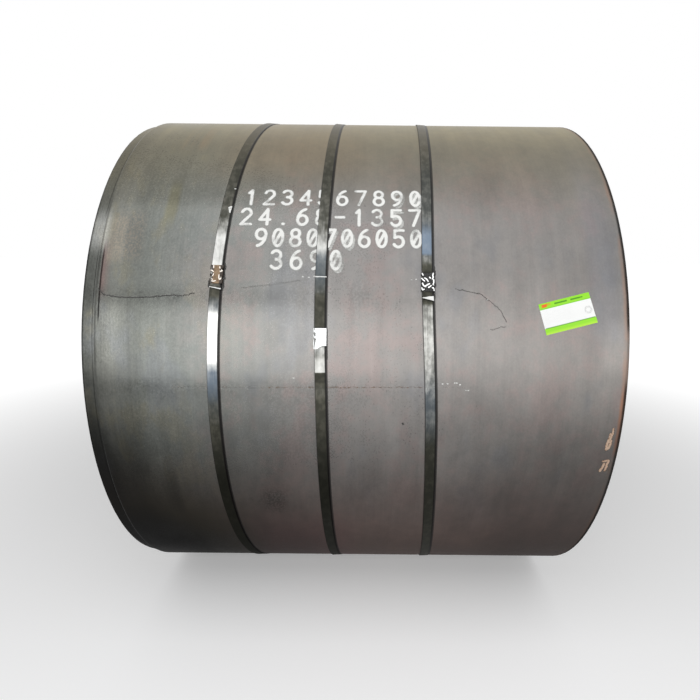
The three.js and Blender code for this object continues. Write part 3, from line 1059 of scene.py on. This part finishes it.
# %% A finish and its nodes
class Finish:
    """A material, and the way to add nodes to it."""

    def __init__(self, name):
        self.material = bpy.data.materials.new(name)
        self.material.use_nodes = True
        self.tree = self.material.node_tree
        self.tree.nodes.clear()
        self.output = self.tree.nodes.new("ShaderNodeOutputMaterial")
        spot = self.node("TexCoord", out="Object")
        from_axis = {0: spot, 1: (0, 0, AXIS_HEIGHT)}
        self.place = self.node("VectorMath", {"operation": "SUBTRACT"}, from_axis)
        self.along, self.across, self.height = self.parts(self.place)

    def node(self, kind, settings=None, values=None, out=None):
        """Adds a node: its settings come first, then the values or links of its sockets."""
        made = self.tree.nodes.new("ShaderNode" + kind)
        settings = dict(settings or {})
        stops = settings.pop("stops", None)
        for name, value in settings.items():
            setattr(made, name, value)
        if stops:
            ramp = made.color_ramp
            while len(ramp.elements) < len(stops):
                ramp.elements.new(1)
            for element, (place, colour) in zip(ramp.elements, stops):
                element.position, element.color = place, (*colour, 1)
        for name, value in (values or {}).items():
            shown = [socket for socket in made.inputs if socket.enabled]
            by_name = {socket.name: socket for socket in reversed(shown)}
            socket = shown[name] if isinstance(name, int) else by_name[name]
            if isinstance(value, Wire):
                self.tree.links.new(value.socket, socket)
            elif socket.type == "RGBA" and len(value) == 3:
                socket.default_value = (*value, 1)
            else:
                socket.default_value = value
        shown = [socket for socket in made.outputs if socket.enabled]
        return Wire(self, shown[0] if out is None else made.outputs[out])

    def parts(self, vector):
        """The three numbers of a vector."""
        split = self.node("SeparateXYZ", values={0: vector})
        return [Wire(self, socket) for socket in split.socket.node.outputs]

    def attribute(self, name):
        """A number stored in the mesh."""
        return self.node("Attribute", {"attribute_name": name}, out="Fac")

    def noise(self, scale, detail, roughness, at=None):
        """Noise around 0.5, with its pattern stretched by a scale in each direction, or by the
        same scale in all of them."""
        scale = scale if isinstance(scale, tuple) else (scale, scale, scale)
        values = {0: at or self.place, 1: scale}
        stretched = self.node("VectorMath", {"operation": "MULTIPLY"}, values)
        values = {"Vector": stretched, "Scale": 1.0, "Detail": detail, "Roughness": roughness}
        return self.node("TexNoise", {"noise_dimensions": "3D"}, values, out=0)

    def mix(self, share, first, second, blend="MIX"):
        """A colour between two colours."""
        settings = {"data_type": "RGBA", "blend_type": blend, "clamp_factor": True}
        return self.node("Mix", settings, {0: share, 1: first, 2: second})

    def stain(self, colour, *stains):
        """A colour with stains over it, one after another: (how much of it, its colour)."""
        for share, tint in stains:
            colour = self.mix(share, colour, tint)
        return colour

    def shade(self, colour, tone):
        """A colour made darker or lighter by a tone around 1."""
        grey = self.node("CombineColor", values={0: tone, 1: tone, 2: tone})
        return self.mix(1.0, colour, grey, "MULTIPLY")

    def bump(self, height, depth):
        """A bump of so many metres where the height runs from 0 to 1."""
        return self.node("Bump", values={"Strength": 1.0, "Distance": depth, "Height": height})

    def surface(self, **values):
        """Ends the network in a Principled surface. An underscore stands for a space."""
        named = {name.replace("_", " "): value for name, value in values.items()}
        shader = self.node("BsdfPrincipled", values=named)
        self.tree.links.new(shader.socket, self.output.inputs["Surface"])
        return self.material


# %% [markdown]
# ## Mill scale
# Hot rolling leaves a thin skin of iron oxide on the strip. It is grey with a little blue,
# green or brown in it, and half glossy, like a dull metal under a thin stone glaze. The
# rolls drew it out lengthwise, so bands and streaks run round the coil, and over them lies
# a fine grit. Noise that is fine along the axis and coarse across it gives the bands, and
# even noise gives the grit and the patches. Dust turns the top olive, and a pale haze on the
# very top is dust and a painted sheen. The underside, which no dust reaches, is brown, and
# its tone is painted darker towards the bottom, as shade.
# %% Its patterns
scale = Finish("mill_scale")
along, across, height = scale.along, scale.across, scale.height
streaks = scale.noise((330, 3, 3), 2, 0.6)
bands = scale.noise((26, 0.8, 0.8), 4, 0.62)
patches = scale.noise((11, 5, 5), 5, 0.62)
blotches = scale.noise((7, 4, 4), 3, 0.55)
clouds = scale.noise((30, 26, 26), 3, 0.65)
grit = scale.noise((190, 150, 150), 3, 0.7)
front = across.between(0.1, -0.1)
at_left = along.between(-0.25, -0.6)
dust = height.between(0.48, 0.82)
# haze: paler dust on the very top, and a painted sheen there
haze = height.between(0.72, 0.88)
below = height.between(-0.12, -0.60)
print("patterns of the mill scale:", len(scale.tree.nodes), "nodes")

# %% Its colours
# Greener at the left, browner at the right, with a wavy border between them.
TINTS = [
    (0.000, (0.098, 0.102, 0.092)),
    (0.026, (0.105, 0.108, 0.098)),
    (0.045, (0.148, 0.150, 0.136)),
    (0.110, (0.155, 0.162, 0.148)),
    (0.200, (0.160, 0.168, 0.158)),
    (0.300, (0.180, 0.182, 0.172)),
    (0.450, (0.198, 0.190, 0.182)),
    (0.600, (0.203, 0.193, 0.184)),
    (1.000, (0.202, 0.190, 0.178)),
]
border = along + (patches - 0.5) * 0.08
from_left = (border + HALF_LENGTH) / (2 * HALF_LENGTH)
tint = scale.node("ValToRGB", {"stops": TINTS}, {"Fac": from_left})
olive = patches.between(0.50, 0.62) * at_left * (0.5 + bands)
rosy = (clouds * 0.4 + blotches * 0.6).between(0.47, 0.62) * (1 - at_left)
bluish = blotches.between(0.46, 0.34) * (1 - height.between(0.3, 0.7))
speckled = height.near(0.45, 0.09, 0.4) * along.near(-0.655, 0.06, 0.5) * grit.between(0.4, 0.6)
patina = height.near(0.548, 0.09) * (along + (patches - 0.5) * 0.03).near(-0.545, 24 * MM)
amber = height.near(0.78, 0.07) * along.near(-0.54, 0.07) * bands.between(0.42, 0.58)
amber = amber | height.between(0.58, 0.70) * along.near(-0.2, 0.32) * 0.5
steely = along.near(0.70, 0.06) * height.between(0.12, 0.25) * (1 - dust)
brown = height.between(-0.30, -0.52) * along.between(-0.30, -0.55)
ruddy = height.between(-0.36, -0.54) * along.near(-0.17, 0.22, 0.4)
colour = scale.stain(
    tint,
    (olive * 0.4, (0.170, 0.155, 0.105)),
    (rosy * 0.4, (0.225, 0.165, 0.155)),
    (bluish * 0.35, (0.150, 0.160, 0.175)),
    (dust * 0.8, (0.185, 0.160, 0.094)),
    # pale dust and a painted sheen on the very top
    (haze * 0.6, (0.42, 0.36, 0.22)),
    (below * 0.9, (0.235, 0.160, 0.138)),
    (speckled * 0.32, (0.250, 0.190, 0.140)),
    (patina * 0.5, (0.165, 0.150, 0.080)),
    (amber * 0.4, (0.290, 0.185, 0.095)),
    (haze * at_left * 0.3, (0.38, 0.32, 0.13)),
    (steely * 0.3, (0.150, 0.158, 0.185)),
    (below * at_left * 0.8, (0.180, 0.168, 0.112)),
    (brown * 0.9, (0.205, 0.158, 0.092)),
    (ruddy * 0.6, (0.270, 0.160, 0.155)),
)
print("with its colours:", len(scale.tree.nodes), "nodes")

# %% Its rims
# The right rim is rusty. Both rims end in a black line of painted shade, where the round
# edge turns away, and a painted glint breaks the right one low at the front. Along the left
# one run a painted shadow at the foot of the outermost turn's edge and a dark reddish line.
# Worn to bare metal, the rim of the outermost turn mirrors more, and a painted highlight
# lies on it.
wander = (grit - 0.5) * 4 * MM + (clouds - 0.5) * 8 * MM
wavy = along + wander * 0.4
rusty = (along + wander * 0.6).between(0.748, 0.757) * patches.between(0.36, 0.56)
rusty_low = wavy.between(0.751, 0.758) * height.near(-0.06, 0.13, 0.5)
# A painted glint on the right rim, low at the front
painted_rim_glint = height.near(0.13, 0.10, 0.5) * front
# Black lines of painted shade along both rims
right_rim = wavy.between(0.758, 0.764) * (1 - painted_rim_glint * 0.7)
left_rim = wavy.between(-0.762, -0.767)
red_line = along.near(-0.715, 3.5 * MM) * height.near(0.32, 0.12, 2 / 3) * front
red_side = along.between(-0.685, -0.715) * along.between(-0.719, -0.716)
red_side = red_side * height.near(0.36, 0.096, 1 / 3) * front
# Painted shadow at the foot of the outermost turn's edge, and a dark reddish line
step_shadow_and_red_line = along.near(-0.730, 3 * MM) * 0.75 | along.near(-0.7375, 2 * MM) * 0.5
step_shadow_and_red_line = step_shadow_and_red_line | red_line * 0.85
# Painted highlights, with wear: on the worn rim of the outermost turn, and lower down at the left
worn_rim_highlight = height.near(0.463, 0.08, 0.2) * along.between(-0.695, -0.725)
worn_low_highlight = height.near(0.18, 0.13) * along.between(-0.60, -0.70)
worn = (worn_rim_highlight * 0.45 + worn_low_highlight * 0.5) * front * (0.6 + bands * 0.8)
beige = height.near(0.44, 0.075, 0.6) * along.near(-0.685, 0.03, 0.5)
colour = scale.stain(
    colour,
    (rusty * 0.6, (0.235, 0.150, 0.110)),
    (rusty_low * 0.7, (0.290, 0.140, 0.085)),
    (red_side * 0.5, (0.20, 0.115, 0.105)),
    (worn_rim_highlight * 0.35, (0.40, 0.40, 0.385)),
    (beige * 0.35, (0.275, 0.245, 0.195)),
)
print("with its rims:", len(scale.tree.nodes), "nodes")

# %% A painted shadow along a strap's edges
swerve = (height - SWAY_HEIGHT).math("ABSOLUTE").between(SWAY_REACH, 0)
swerve = swerve * across.between(0.01, -0.01)
lines = []
for strap in STRAPS.values():
    run = across * (strap["lean"] / COIL_RADIUS) - height * (strap["twist"] / COIL_RADIUS)
    off = along + (run - swerve * strap["sway"]) - strap["middle"]
    right_side = (off - STRAP_WIDTH / 2).between(5.5 * MM, 2.5 * MM)
    left_side = (off + STRAP_WIDTH / 2).between(-3.0 * MM, -0.5 * MM)
    lines.append(right_side * left_side * (0.5 + off.between(0, 5 * MM) * 0.5))
# painted shadow under and just beside each strap, strongest past its right edge
painted_shadow = lines[0] | lines[1] | lines[2]
print("with the oil along", len(lines), "straps:", len(scale.tree.nodes), "nodes")

# %% How light it is
tone = 1.0 + (grit - 0.5) * (0.35 + at_left * 0.5) + (clouds - 0.5) * 0.3 + (patches - 0.5) * 0.5
tone = tone + ((bands - 0.5) * 0.6 + (streaks - 0.5) * 0.25) * (0.45 + at_left * 0.55)
# Painted shade and light: the tone is made darker towards the bottom, at the low left and low right,
# at the left end and in patches higher up, and lighter low at the right and near the right end, as
# the light fell. The smudge among the patches is a dark stain.
painted_underside_shade = (height + (patches - 0.5) * 0.15).between(0.08, -0.66) * 0.78
painted_shade_low_right = along.between(0.15, 0.60) * height.between(0.05, -0.15) * 0.28
painted_shade_low_left = along.between(0.08, -0.35) * 0.36 + along.between(-0.56, -0.66) * 0.4
painted_shade_low_left = painted_shade_low_left * height.between(0.22, -0.24)
painted_shade_bottom_left = height.between(-0.10, -0.60) * along.between(-0.22, -0.55) * 0.9
painted_light_bottom_right = height.between(-0.30, -0.58) * along.near(0.2, 0.38, 0.5) * 0.45
low_end = along.between(-0.50, -0.60) * 0.56 + along.between(-0.62, -0.70) * 0.16
painted_shade_left_end = height.between(0.1, -0.1) * along.between(-0.70, -0.75) * 0.45
painted_shade_left_end = painted_shade_left_end | height.between(-0.34, -0.53) * low_end
painted_shade_left_end = painted_shade_left_end | height.near(-0.32, 0.14) * along.near(-0.552, 0.035) * 0.35
painted_highlight_right_end = height.near(0.16, 0.1) * along.between(0.67, 0.73) * 0.25
smudge = along.near(-0.245, 0.055, 0.2) * height.near(-0.345, 0.075, 0.2)
painted_shade_and_smudge = at_left * (height.between(0.60, 0.45) * 0.16 + height.between(0.70, 0.80) * 0.15)
painted_shade_and_smudge = painted_shade_and_smudge + along.between(-0.66, -0.72) * height.between(0.56, 0.72) * 0.2
painted_shade_and_smudge = painted_shade_and_smudge + height.near(0.43, 0.15) * 0.15
painted_shade_and_smudge = painted_shade_and_smudge + smudge * (0.15 + grit.between(0.62, 0.42) * 0.35)
lines_dark = step_shadow_and_red_line * (1 - worn_rim_highlight)
painted_rim_shade = (right_rim * 0.9, left_rim * 0.85)
for darker in (
    painted_underside_shade, painted_shade_low_right, painted_shade_low_left, painted_shade_bottom_left, painted_shade_left_end, painted_shade_and_smudge, painted_shadow * 0.85, lines_dark, *painted_rim_shade
):
    tone = tone * (1 - darker)
for lighter in (worn * 0.8, painted_light_bottom_right, painted_highlight_right_end):
    tone = tone * (1 + lighter)

# %% Its gloss
DULL_RIM = (0.56, 0.56, 0.56)  # what scale and wax leave of a bare metal's grazing reflection
gloss = 0.35 + along.between(0.75, -0.75) * 0.65
metallic = (0.2 + gloss * 0.65) * (1 - dust * 0.5) | painted_shade_low_left | painted_shade_bottom_left
roughness = 0.44 - gloss * 0.22 + (grit - 0.5) * 0.2 + (patches - 0.5) * 0.16
roughness = roughness + dust * 0.1 + below * 0.3 + (right_rim | left_rim) * 0.3
relief = grit * 0.25 + streaks * 0.3 + clouds * 0.8
mill_scale = scale.surface(
    Base_Color=scale.shade(colour, tone), Roughness=roughness, Metallic=metallic,
    Normal=scale.bump(relief, 0.22 * MM), Specular_Tint=DULL_RIM,
)
print("the whole mill scale:", len(scale.tree.nodes), "nodes")

# %% [markdown]
# ## The strip's edges
# On the ends of the coil only the strip's edges show, one thin ring after another. They
# were never rolled flat: they are rounder, rougher and browner than the faces, no two
# turns have the same shade, and a bloom of rust starts on them first. The distance from
# the axis tells one turn from the next, and drives noise that changes from ring to ring.
# %% Mill edge
def mill_edge():
    finish = Finish("mill_edge")
    out = finish.across.hypot(finish.height)
    rings = {0: finish.along.math("SIGN"), 1: out * 60, 2: 0.0}
    ring = finish.noise(1, 4, 0.8, finish.node("CombineXYZ", values=rings))
    patches = finish.noise((6, 5, 5), 5, 0.65)
    grain = finish.noise(300, 3, 0.6)
    colour = finish.mix(ring.between(0.35, 0.65), (0.060, 0.055, 0.050), (0.19, 0.172, 0.155))
    rust = (patches + (ring - 0.5) * 0.5).between(0.52, 0.72)
    colour = finish.mix(rust * 0.55, colour, (0.21, 0.105, 0.055))
    # The outermost rings are painted dark, as shade where the rim turns away
    painted_outer_shade = out.between(COIL_RADIUS - 26 * MM, COIL_RADIUS - 15 * MM)
    colour = finish.shade(colour, (0.7 + grain * 0.6) * (1 - painted_outer_shade * 0.85))
    return finish.surface(
        Base_Color=colour, Roughness=0.5 + (grain - 0.5) * 0.2, Metallic=0.35 - painted_outer_shade * 0.35,
        Normal=finish.bump(grain, 0.3 * MM), Specular_IOR_Level=0.15,
    )


# %% Dress the strip
EDGE_FACE = 0.35  # a face that looks this far along the axis belongs to an edge
coil.data.materials.append(mill_scale)
coil.data.materials.append(mill_edge())
for face in coil.data.polygons:
    face.material_index = 1 if abs(face.normal.x) > EDGE_FACE else 0
print("edge faces:", sum(face.material_index for face in coil.data.polygons))

# %% [markdown]
# ## Strapping
# The straps are blued and waxed: nearly black and glossy. The tensioning tool scraped the
# bluing off near the seals, and there the strap is bare steel, which also carries a painted
# highlight where it mirrors a window as a white bar. Where along a strap that is so, is
# stored in its mesh, as an attribute called "bare"; below 0 it paints shadow instead, and a
# second attribute paints a blue reflection of the sky. Fine lines run along its length, its
# edges and underside are painted darker as shade, and where it was cut, its end shows bright
# steel and a painted highlight.
# %% Strap steel
def strap_steel():
    finish = Finish("strap_steel")
    lines = finish.noise((450, 6, 6), 2, 0.6)
    smudges = finish.noise((60, 40, 40), 3, 0.6)
    bare = finish.attribute("bare")
    across = finish.attribute("across")
    grain = (smudges - 0.5) * 0.8 + (lines - 0.5) * 0.5
    worn = (bare + grain * bare.between(0, 0.3) * (1.1 - bare)).between(0.0, 1.0)
    # Painted shade: darker towards the strap's underside
    below = finish.height.between(0.02, -0.28) * (1 - finish.along.between(-0.2, 0.3) * 0.3)
    # Painted shadow along both edges of the strap, wider at its right side
    edges = across.between(0.66, 0.86) + across.between(-0.86, -1.0) * 0.7
    # The bright cut steel at the tip, widened into a painted highlight
    cut = (finish.attribute("cut") + (smudges - 0.5) * 3).between(-0.5, 0.5)
    # Over the dark steel lie a painted blue sky reflection, painted shadow where bare is below 0, a
    # browner top, painted shade underneath, bare steel with its painted highlight, painted shadow
    # along the edges, and the bright cut with its painted highlight.
    colour = finish.stain(
        finish.mix(smudges.between(0.4, 0.7), (0.040, 0.040, 0.030), (0.080, 0.077, 0.060)),
        (finish.attribute("blue"), (0.130, 0.172, 0.228)),
        (bare.between(0, -1), (0.006, 0.006, 0.005)),
        (finish.height.between(0.62, 0.84) * 0.3, (0.30, 0.25, 0.16)),
        (below * 0.9, (0.010, 0.010, 0.008)),
        (worn, (0.62, 0.62, 0.60)),
        (edges * 0.97, (0.006, 0.005, 0.005)),
        (cut, (0.84, 0.84, 0.82)),
    )
    metallic = (0.5 + worn * 0.5) * (1 - edges.between(0, 1)) | below
    return finish.surface(
        Base_Color=colour, Metallic=metallic * (1 - cut * 0.85),
        Roughness=0.24 + lines * 0.10 + smudges * 0.12 + below * 0.3 + cut * 0.2,
        Normal=finish.bump(lines, 0.06 * MM), Specular_Tint=DULL_RIM, Specular_IOR_Level=0.25,
    )


# %% Dress the straps
FAR = 40  # mm, as good as nowhere near the tip


def cut_at(strap, tip, angle, across, visible_end):
    """How far a point lies inside the bright cut at the visible end, in mm: bright steel, widened
    into a painted highlight.
    """
    slant, left, right = tip
    _, way, _ = run_of(strap)
    from_end = way * (math.radians(strap["end"]) - angle) * COIL_RADIUS / MM
    away = from_end - slant / MM * (1 - across) / 2
    if not visible_end or abs(away) > FAR:
        away = FAR
    return (left + right) / 2 + (right - left) / 2 * across - away


def wear_at(side, co, visible_end):
    """How bare a strap is at a point, which also paints its highlights and shadows, how much
    painted sky reflection lies there, how far across the point lies, and how far inside the
    bright cut."""
    strap = STRAPS[side]
    angle, _ = seen_at(co)
    angles, bare, blue = zip(*WEAR_AND_PAINTED_LIGHT[side])
    across = (co.x - strap_place(strap, angle)) / (STRAP_WIDTH / 2)
    cut = cut_at(strap, TIPS[side], angle, across, visible_end)
    degrees = math.degrees(angle)
    return np.interp(degrees, angles, bare), np.interp(degrees, angles, blue), across, cut


blued = strap_steel()
for side, band in strap_bands.items():
    band.data.materials.append(blued)
    points = band.data.vertices  # in order, from the hidden end to the visible one
    half = len(points) / 2
    values = zip(*(wear_at(side, point.co, point.index > half) for point in points))
    for name, row in zip(("bare", "blue", "across", "cut"), values):
        store(band, name, row)
    print(band.name, "has", len(points), "points that know how worn they are")


# %% [markdown]
# ## Seals' metal
# Each seal came from another box. The left one is copper-brown, and the tool wore it bright
# on the crimps, where it carries painted highlights; its two sides are painted dark as shade.
# The middle one is galvanised: zinc freezes in flat crystals a few millimetres across, each
# with its own grey, which a Voronoi texture gives; its right side and dents are painted dark
# as shade. The right one is zinc too, painted nearly black as a dark reflection, with
# painted highlights on its ridges.
# %% Copper-brown, galvanised and dark zinc sheet, with painted light and shade
def bronzed():
    finish = Finish("bronzed_seal")
    grain = finish.noise(500, 3, 0.6)
    wear = finish.noise(160, 3, 0.6).between(0.42, 0.60)
    bright = (finish.attribute("bright") + (grain - 0.5) * 0.4).between(0.3, 0.7)
    painted_seal_shade = (finish.attribute("painted_seal_shade") + (wear - 0.5) * 0.5).between(0.15, 0.75)
    colour = finish.stain(
        finish.mix(grain, (0.13, 0.09, 0.055), (0.27, 0.19, 0.12)),
        (wear * 0.5, (0.06, 0.035, 0.02)),
        (painted_seal_shade * 0.9, (0.015, 0.009, 0.006)),
        # painted highlight on the worn crimps
        (bright * 0.95, (0.95, 0.88, 0.80)),
    )
    metallic = (0.75 - bright * 0.5) * (1 - painted_seal_shade * 0.7)
    bump = finish.bump(grain, 0.1 * MM)
    return finish.surface(Base_Color=colour, Roughness=0.38, Metallic=metallic, Normal=bump)


def galvanised():
    finish = Finish("zinc_seal")
    voronoi = {"Vector": finish.place, "Scale": 260.0}
    crystals = finish.node("TexVoronoi", {"feature": "F1"}, voronoi, out="Color")
    crystal = finish.parts(crystals)[0]
    dirt = finish.noise(220, 3, 0.7).between(0.55, 0.72)
    painted_seal_shade = finish.attribute("painted_seal_shade")
    colour = finish.stain(
        finish.mix(crystal, (0.80, 0.81, 0.81), (0.93, 0.94, 0.93)),
        (dirt * 0.35, (0.25, 0.25, 0.24)),
        (painted_seal_shade, (0.02, 0.02, 0.02)),
    )
    roughness = 0.35 + crystal * 0.14 + dirt * 0.2
    return finish.surface(Base_Color=colour, Roughness=roughness, Metallic=0.6 - painted_seal_shade * 0.6)


def painted_dark_zinc():
    finish = Finish("painted_dark_zinc_seal")
    dirt = finish.noise(300, 3, 0.7)
    ridge = (finish.attribute("bright") + (dirt - 0.5) * 0.7).between(0.3, 0.75)
    # Near black as a painted dark reflection, with painted highlights on the ridges
    colour = finish.mix(dirt.between(0.4, 0.65), (0.012, 0.012, 0.011), (0.055, 0.055, 0.053))
    colour = finish.mix(ridge, colour, (0.80, 0.80, 0.79))
    return finish.surface(
        Base_Color=colour, Roughness=0.5 - ridge * 0.2, Metallic=ridge * 0.6,
        Specular_IOR_Level=0.2,
    )


# %% Dress the seals
for side, metal in (("left", bronzed()), ("middle", galvanised()), ("right", painted_dark_zinc())):
    seals[side].data.materials.append(metal)
    print(seals[side].name, "is of", metal.name)


# %% [markdown]
# ## Label paper
# Coated paper, white in the middle with a green band above and below. Its print is left
# out. Plain ruled lines, two bars, a ring and a red mark take its place, drawn from the
# label's own UV map.
# %% Label
def within(value, low, high, soft=0.006):
    """1 from low to high and 0 outside, with soft borders."""
    return value.between(low - soft, low + soft) * (1 - value.between(high - soft, high + soft))


def paper(finish, up):
    """White paper, the green of its two bands, and where they lie."""
    grime = finish.noise(40, 4, 0.6).between(0.5, 0.75)
    green = finish.mix(up.between(0.12, 0.0), (0.32, 0.78, 0.04), (0.50, 0.86, 0.07))
    green = finish.mix(up.between(0.80, 1.0), green, (0.31, 0.77, 0.03))
    white = finish.mix(grime * 0.12, (0.93, 0.935, 0.92), (0.78, 0.79, 0.76))
    return white, green, 1 - within(up, 0.2, 0.8)


def label_paper():
    finish = Finish("label_paper")
    across, up, _ = finish.parts(finish.node("UVMap"))
    fibre = finish.noise(900, 2, 0.6)
    white, green, bands = paper(finish, up)

    # The lines are ruled in rows, and each row breaks off at its own places.
    rows = up * 46
    in_row = {0: across * 9, 1: rows.math("FLOOR")}
    broken = finish.noise(1, 0, 0.5, finish.node("CombineXYZ", values=in_row))
    rule = within(rows.math("FRACT"), 0.42, 0.58, 0.06)
    rule = rule * within(up, 0.30, 0.74) * within(across, 0.05, 0.62)
    from_stamp = ((across - 0.90) * 1.65).hypot(up - 0.47)
    ring = (from_stamp - 0.095).math("ABSOLUTE").between(0.045, 0.015)
    low_rim = within(up, 0.185, 0.215) * within(across, 0.02, 0.99)
    high_rim = within(up, 0.80, 0.83)
    bar = within(up, 0.885, 0.935) * (within(across, 0.30, 0.55) + within(across, 0.62, 0.86))
    mark = within(up, 0.86, 0.96) * within(across, 0.05, 0.15, 0.02)
    smear = within(up, 0.90, 0.97) * within(across, 0.14, 0.23, 0.02)
    colour = finish.stain(
        white,
        (rule * broken.between(0.42, 0.5) * 0.12, (0.10, 0.10, 0.10)),
        (ring * fibre.between(0.42, 0.60) * 0.6, (0.25, 0.25, 0.24)),
        (bands, green),
        (low_rim * 0.75, (0.05, 0.25, 0.01)),
        (high_rim * 0.4, (0.10, 0.45, 0.01)),
        (bar * broken.between(0.25, 0.45) * 0.8, (0.03, 0.22, 0.01)),
        ((mark * 0.95 + smear * 0.5).between(0, 1), (0.85, 0.16, 0.02)),
    )
    return finish.surface(
        Base_Color=colour, Roughness=0.5 + fibre * 0.1,
        Normal=finish.bump(fibre, 0.03 * MM), Specular_IOR_Level=0.25,
    )


label.data.materials.append(label_paper())

# %% [markdown]
# ## Paint, scratches and rust
# These films all work alike: the attribute "cover" says how much of the mark is there, and
# noise roughens its border. The thinner the paint, the greyer it is.
# %% Finishes of the marks
FINE, COARSE = 300, 210


def mark_finish(name, thin, thick, roughness, speckle, scale=FINE, thickest=1.0, mottle=0.0):
    """A mark's finish: its colours where it is thin and thick, and how it breaks up."""
    finish = Finish(name)
    cover = finish.attribute("cover")
    noise = finish.noise(scale, 3, 0.65)
    fading = finish.noise(22, 2, 0.6).between(0.25, 0.55)
    level = cover * (0.6 + fading * 0.4) + (noise - 0.5) * speckle * cover.between(0.0, 0.4)
    colour = finish.mix((level + (noise - 0.5) * mottle).between(0.15, 0.9), thin, thick)
    alpha = level.between(0.02, 1.0) * thickest
    return finish.surface(Base_Color=colour, Roughness=roughness, Alpha=alpha)


white = (0.36, 0.38, 0.35), (0.86, 0.86, 0.83)
black = (0.05, 0.045, 0.04), (0.012, 0.011, 0.010)
orange = (0.36, 0.17, 0.08), (0.64, 0.46, 0.34)
brownish = (0.20, 0.13, 0.08), (0.17, 0.09, 0.05)
paint = mark_finish("sprayed_paint", *white, 0.7, 0.8, thickest=0.94)
grime = mark_finish("scratch", *black, 0.6, 0.8)
rust = mark_finish("rust", *orange, 0.85, 0.8, COARSE, 0.95, 2.0)
dots = mark_finish("brown_dots", *brownish, 0.8, 0.9)
# The painted shadows beside the seals take the scratches' black.
marks = [(paint, numbers), (paint, specks), (paint, splash), (grime, seal_dirt), (dots, dotted_line)]
marks += [(grime, scratch) for scratch in scratches] + [(rust, smear) for smear in smears]
for mark_made, piece in marks:
    piece.data.materials.append(mark_made)
print(len(marks), "marks are dressed")

# %% [markdown]
# ## Which piece stands for what
# Nothing on the coil moves by itself, so every piece rides on the one body there is. The
# plain model's nodes that the larger pieces stand in for are hidden.
# %% Tie the pieces to the frame
for piece in bpy.data.objects:
    if piece.type == "MESH" and piece.name not in frame["nodes"]:
        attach(piece, "root")
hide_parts("steel_coil")
for side in STRAPS:
    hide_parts("strap_" + side)
    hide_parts("seal_" + side)
    "bronzed_seal" if side == "left" else "zinc_seal"
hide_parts("label")


# %% [markdown]
# ## Floor, background and light
# The floor and the background are white wherever they are looked at, straight or in a
# reflection, except near the coil, where the floor's glow is weaker: a painted shade round
# the coil, which keeps its underside dark where it mirrors the floor. They send little light
# back up, so the underside of the coil stays dark. A wide soft light stands in front, and a
# long one hangs above it.
# %% The world
AMBIENT = 0.32
world = bpy.data.worlds.new("world")
bpy.context.scene.world = world
world.use_nodes = True
world.node_tree.nodes.clear()


class Surroundings(Finish):
    """The world's own nodes, which are added in the same way as a material's."""

    def __init__(self):
        self.tree = world.node_tree
        self.output = self.tree.nodes.new("ShaderNodeOutputWorld")


def looked_at(finish):
    """1 for what the camera sees, straight, mirrored or through glass, and 0 otherwise."""
    ways = ("Is Camera Ray", "Is Glossy Ray", "Is Transmission Ray")
    straight, mirrored, through = [finish.node("LightPath", out=way) for way in ways]
    return straight | mirrored | through


surroundings = Surroundings()
strength = AMBIENT + looked_at(surroundings) * (1 - AMBIENT)
sky = surroundings.node("Background", values={"Color": (1, 1, 1), "Strength": strength})
surroundings.tree.links.new(sky.socket, surroundings.output.inputs["Surface"])
print("the surroundings shine at", AMBIENT, "and look white")

# %% The floor
FLOOR_SIZE = 60
GLOW_NEAR, GLOW_FAR = 0.22, 0.80
bpy.ops.mesh.primitive_plane_add(size=FLOOR_SIZE, location=(0, 0, 0))
floor = bpy.context.view_layer.objects.active
floor.name = "floor"
ground = Finish("floor")
from_coil = ground.along.hypot(ground.across)
# painted shade: the glow is weaker near the coil
glow = GLOW_NEAR + from_coil.between(1.4, 5.0) * (GLOW_FAR - GLOW_NEAR)
white = ground.node("Emission", values={"Color": (1, 1, 1), "Strength": glow})
lit = ground.node("BsdfDiffuse", values={"Color": (0.9, 0.9, 0.9)})
unlit = ground.node("BsdfDiffuse", values={"Color": (0.05, 0.05, 0.05)})
pale = ground.node("AddShader", values={0: white, 1: lit})
both = ground.node("MixShader", values={0: looked_at(ground), 1: unlit, 2: pale})
ground.tree.links.new(both.socket, ground.output.inputs["Surface"])
floor.data.materials.append(ground.material)
ground.material.cycles.emission_sampling = "NONE"  # its glow is only seen, and lights nothing

# %% The lamps
def panel(name, direction, rise, distance, width, height, radiance, colour=(1, 1, 1)):
    """A flat soft lamp that faces the coil. Direction is counted from the front towards +X."""
    lamp = bpy.data.lights.new(name, "AREA")
    lamp.shape = "RECTANGLE"
    lamp.size, lamp.size_y = width, height
    lamp.energy = radiance * math.pi * width * height
    lamp.color = colour
    holder = add(name, lamp)
    _, forward, up = on_coil(0, distance, rise)
    holder.location = (-forward * math.sin(direction), forward * math.cos(direction), up)
    holder.rotation_euler = (math.pi / 2 - rise, 0, direction)
    print(name, "lamp of", round(lamp.energy, 1), "W")


LAMPS_AWAY, LAMPS_WIDTH = 4.0, 5.0
COOL_WHITE = (0.97, 0.98, 1.0)
panel("front", 2 * DEGREE, 10 * DEGREE, LAMPS_AWAY, LAMPS_WIDTH, height=2.2, radiance=2.15)
panel(
    "above", 0, 51 * DEGREE, LAMPS_AWAY, LAMPS_WIDTH, height=2.8, radiance=1.45,
    colour=COOL_WHITE,
)
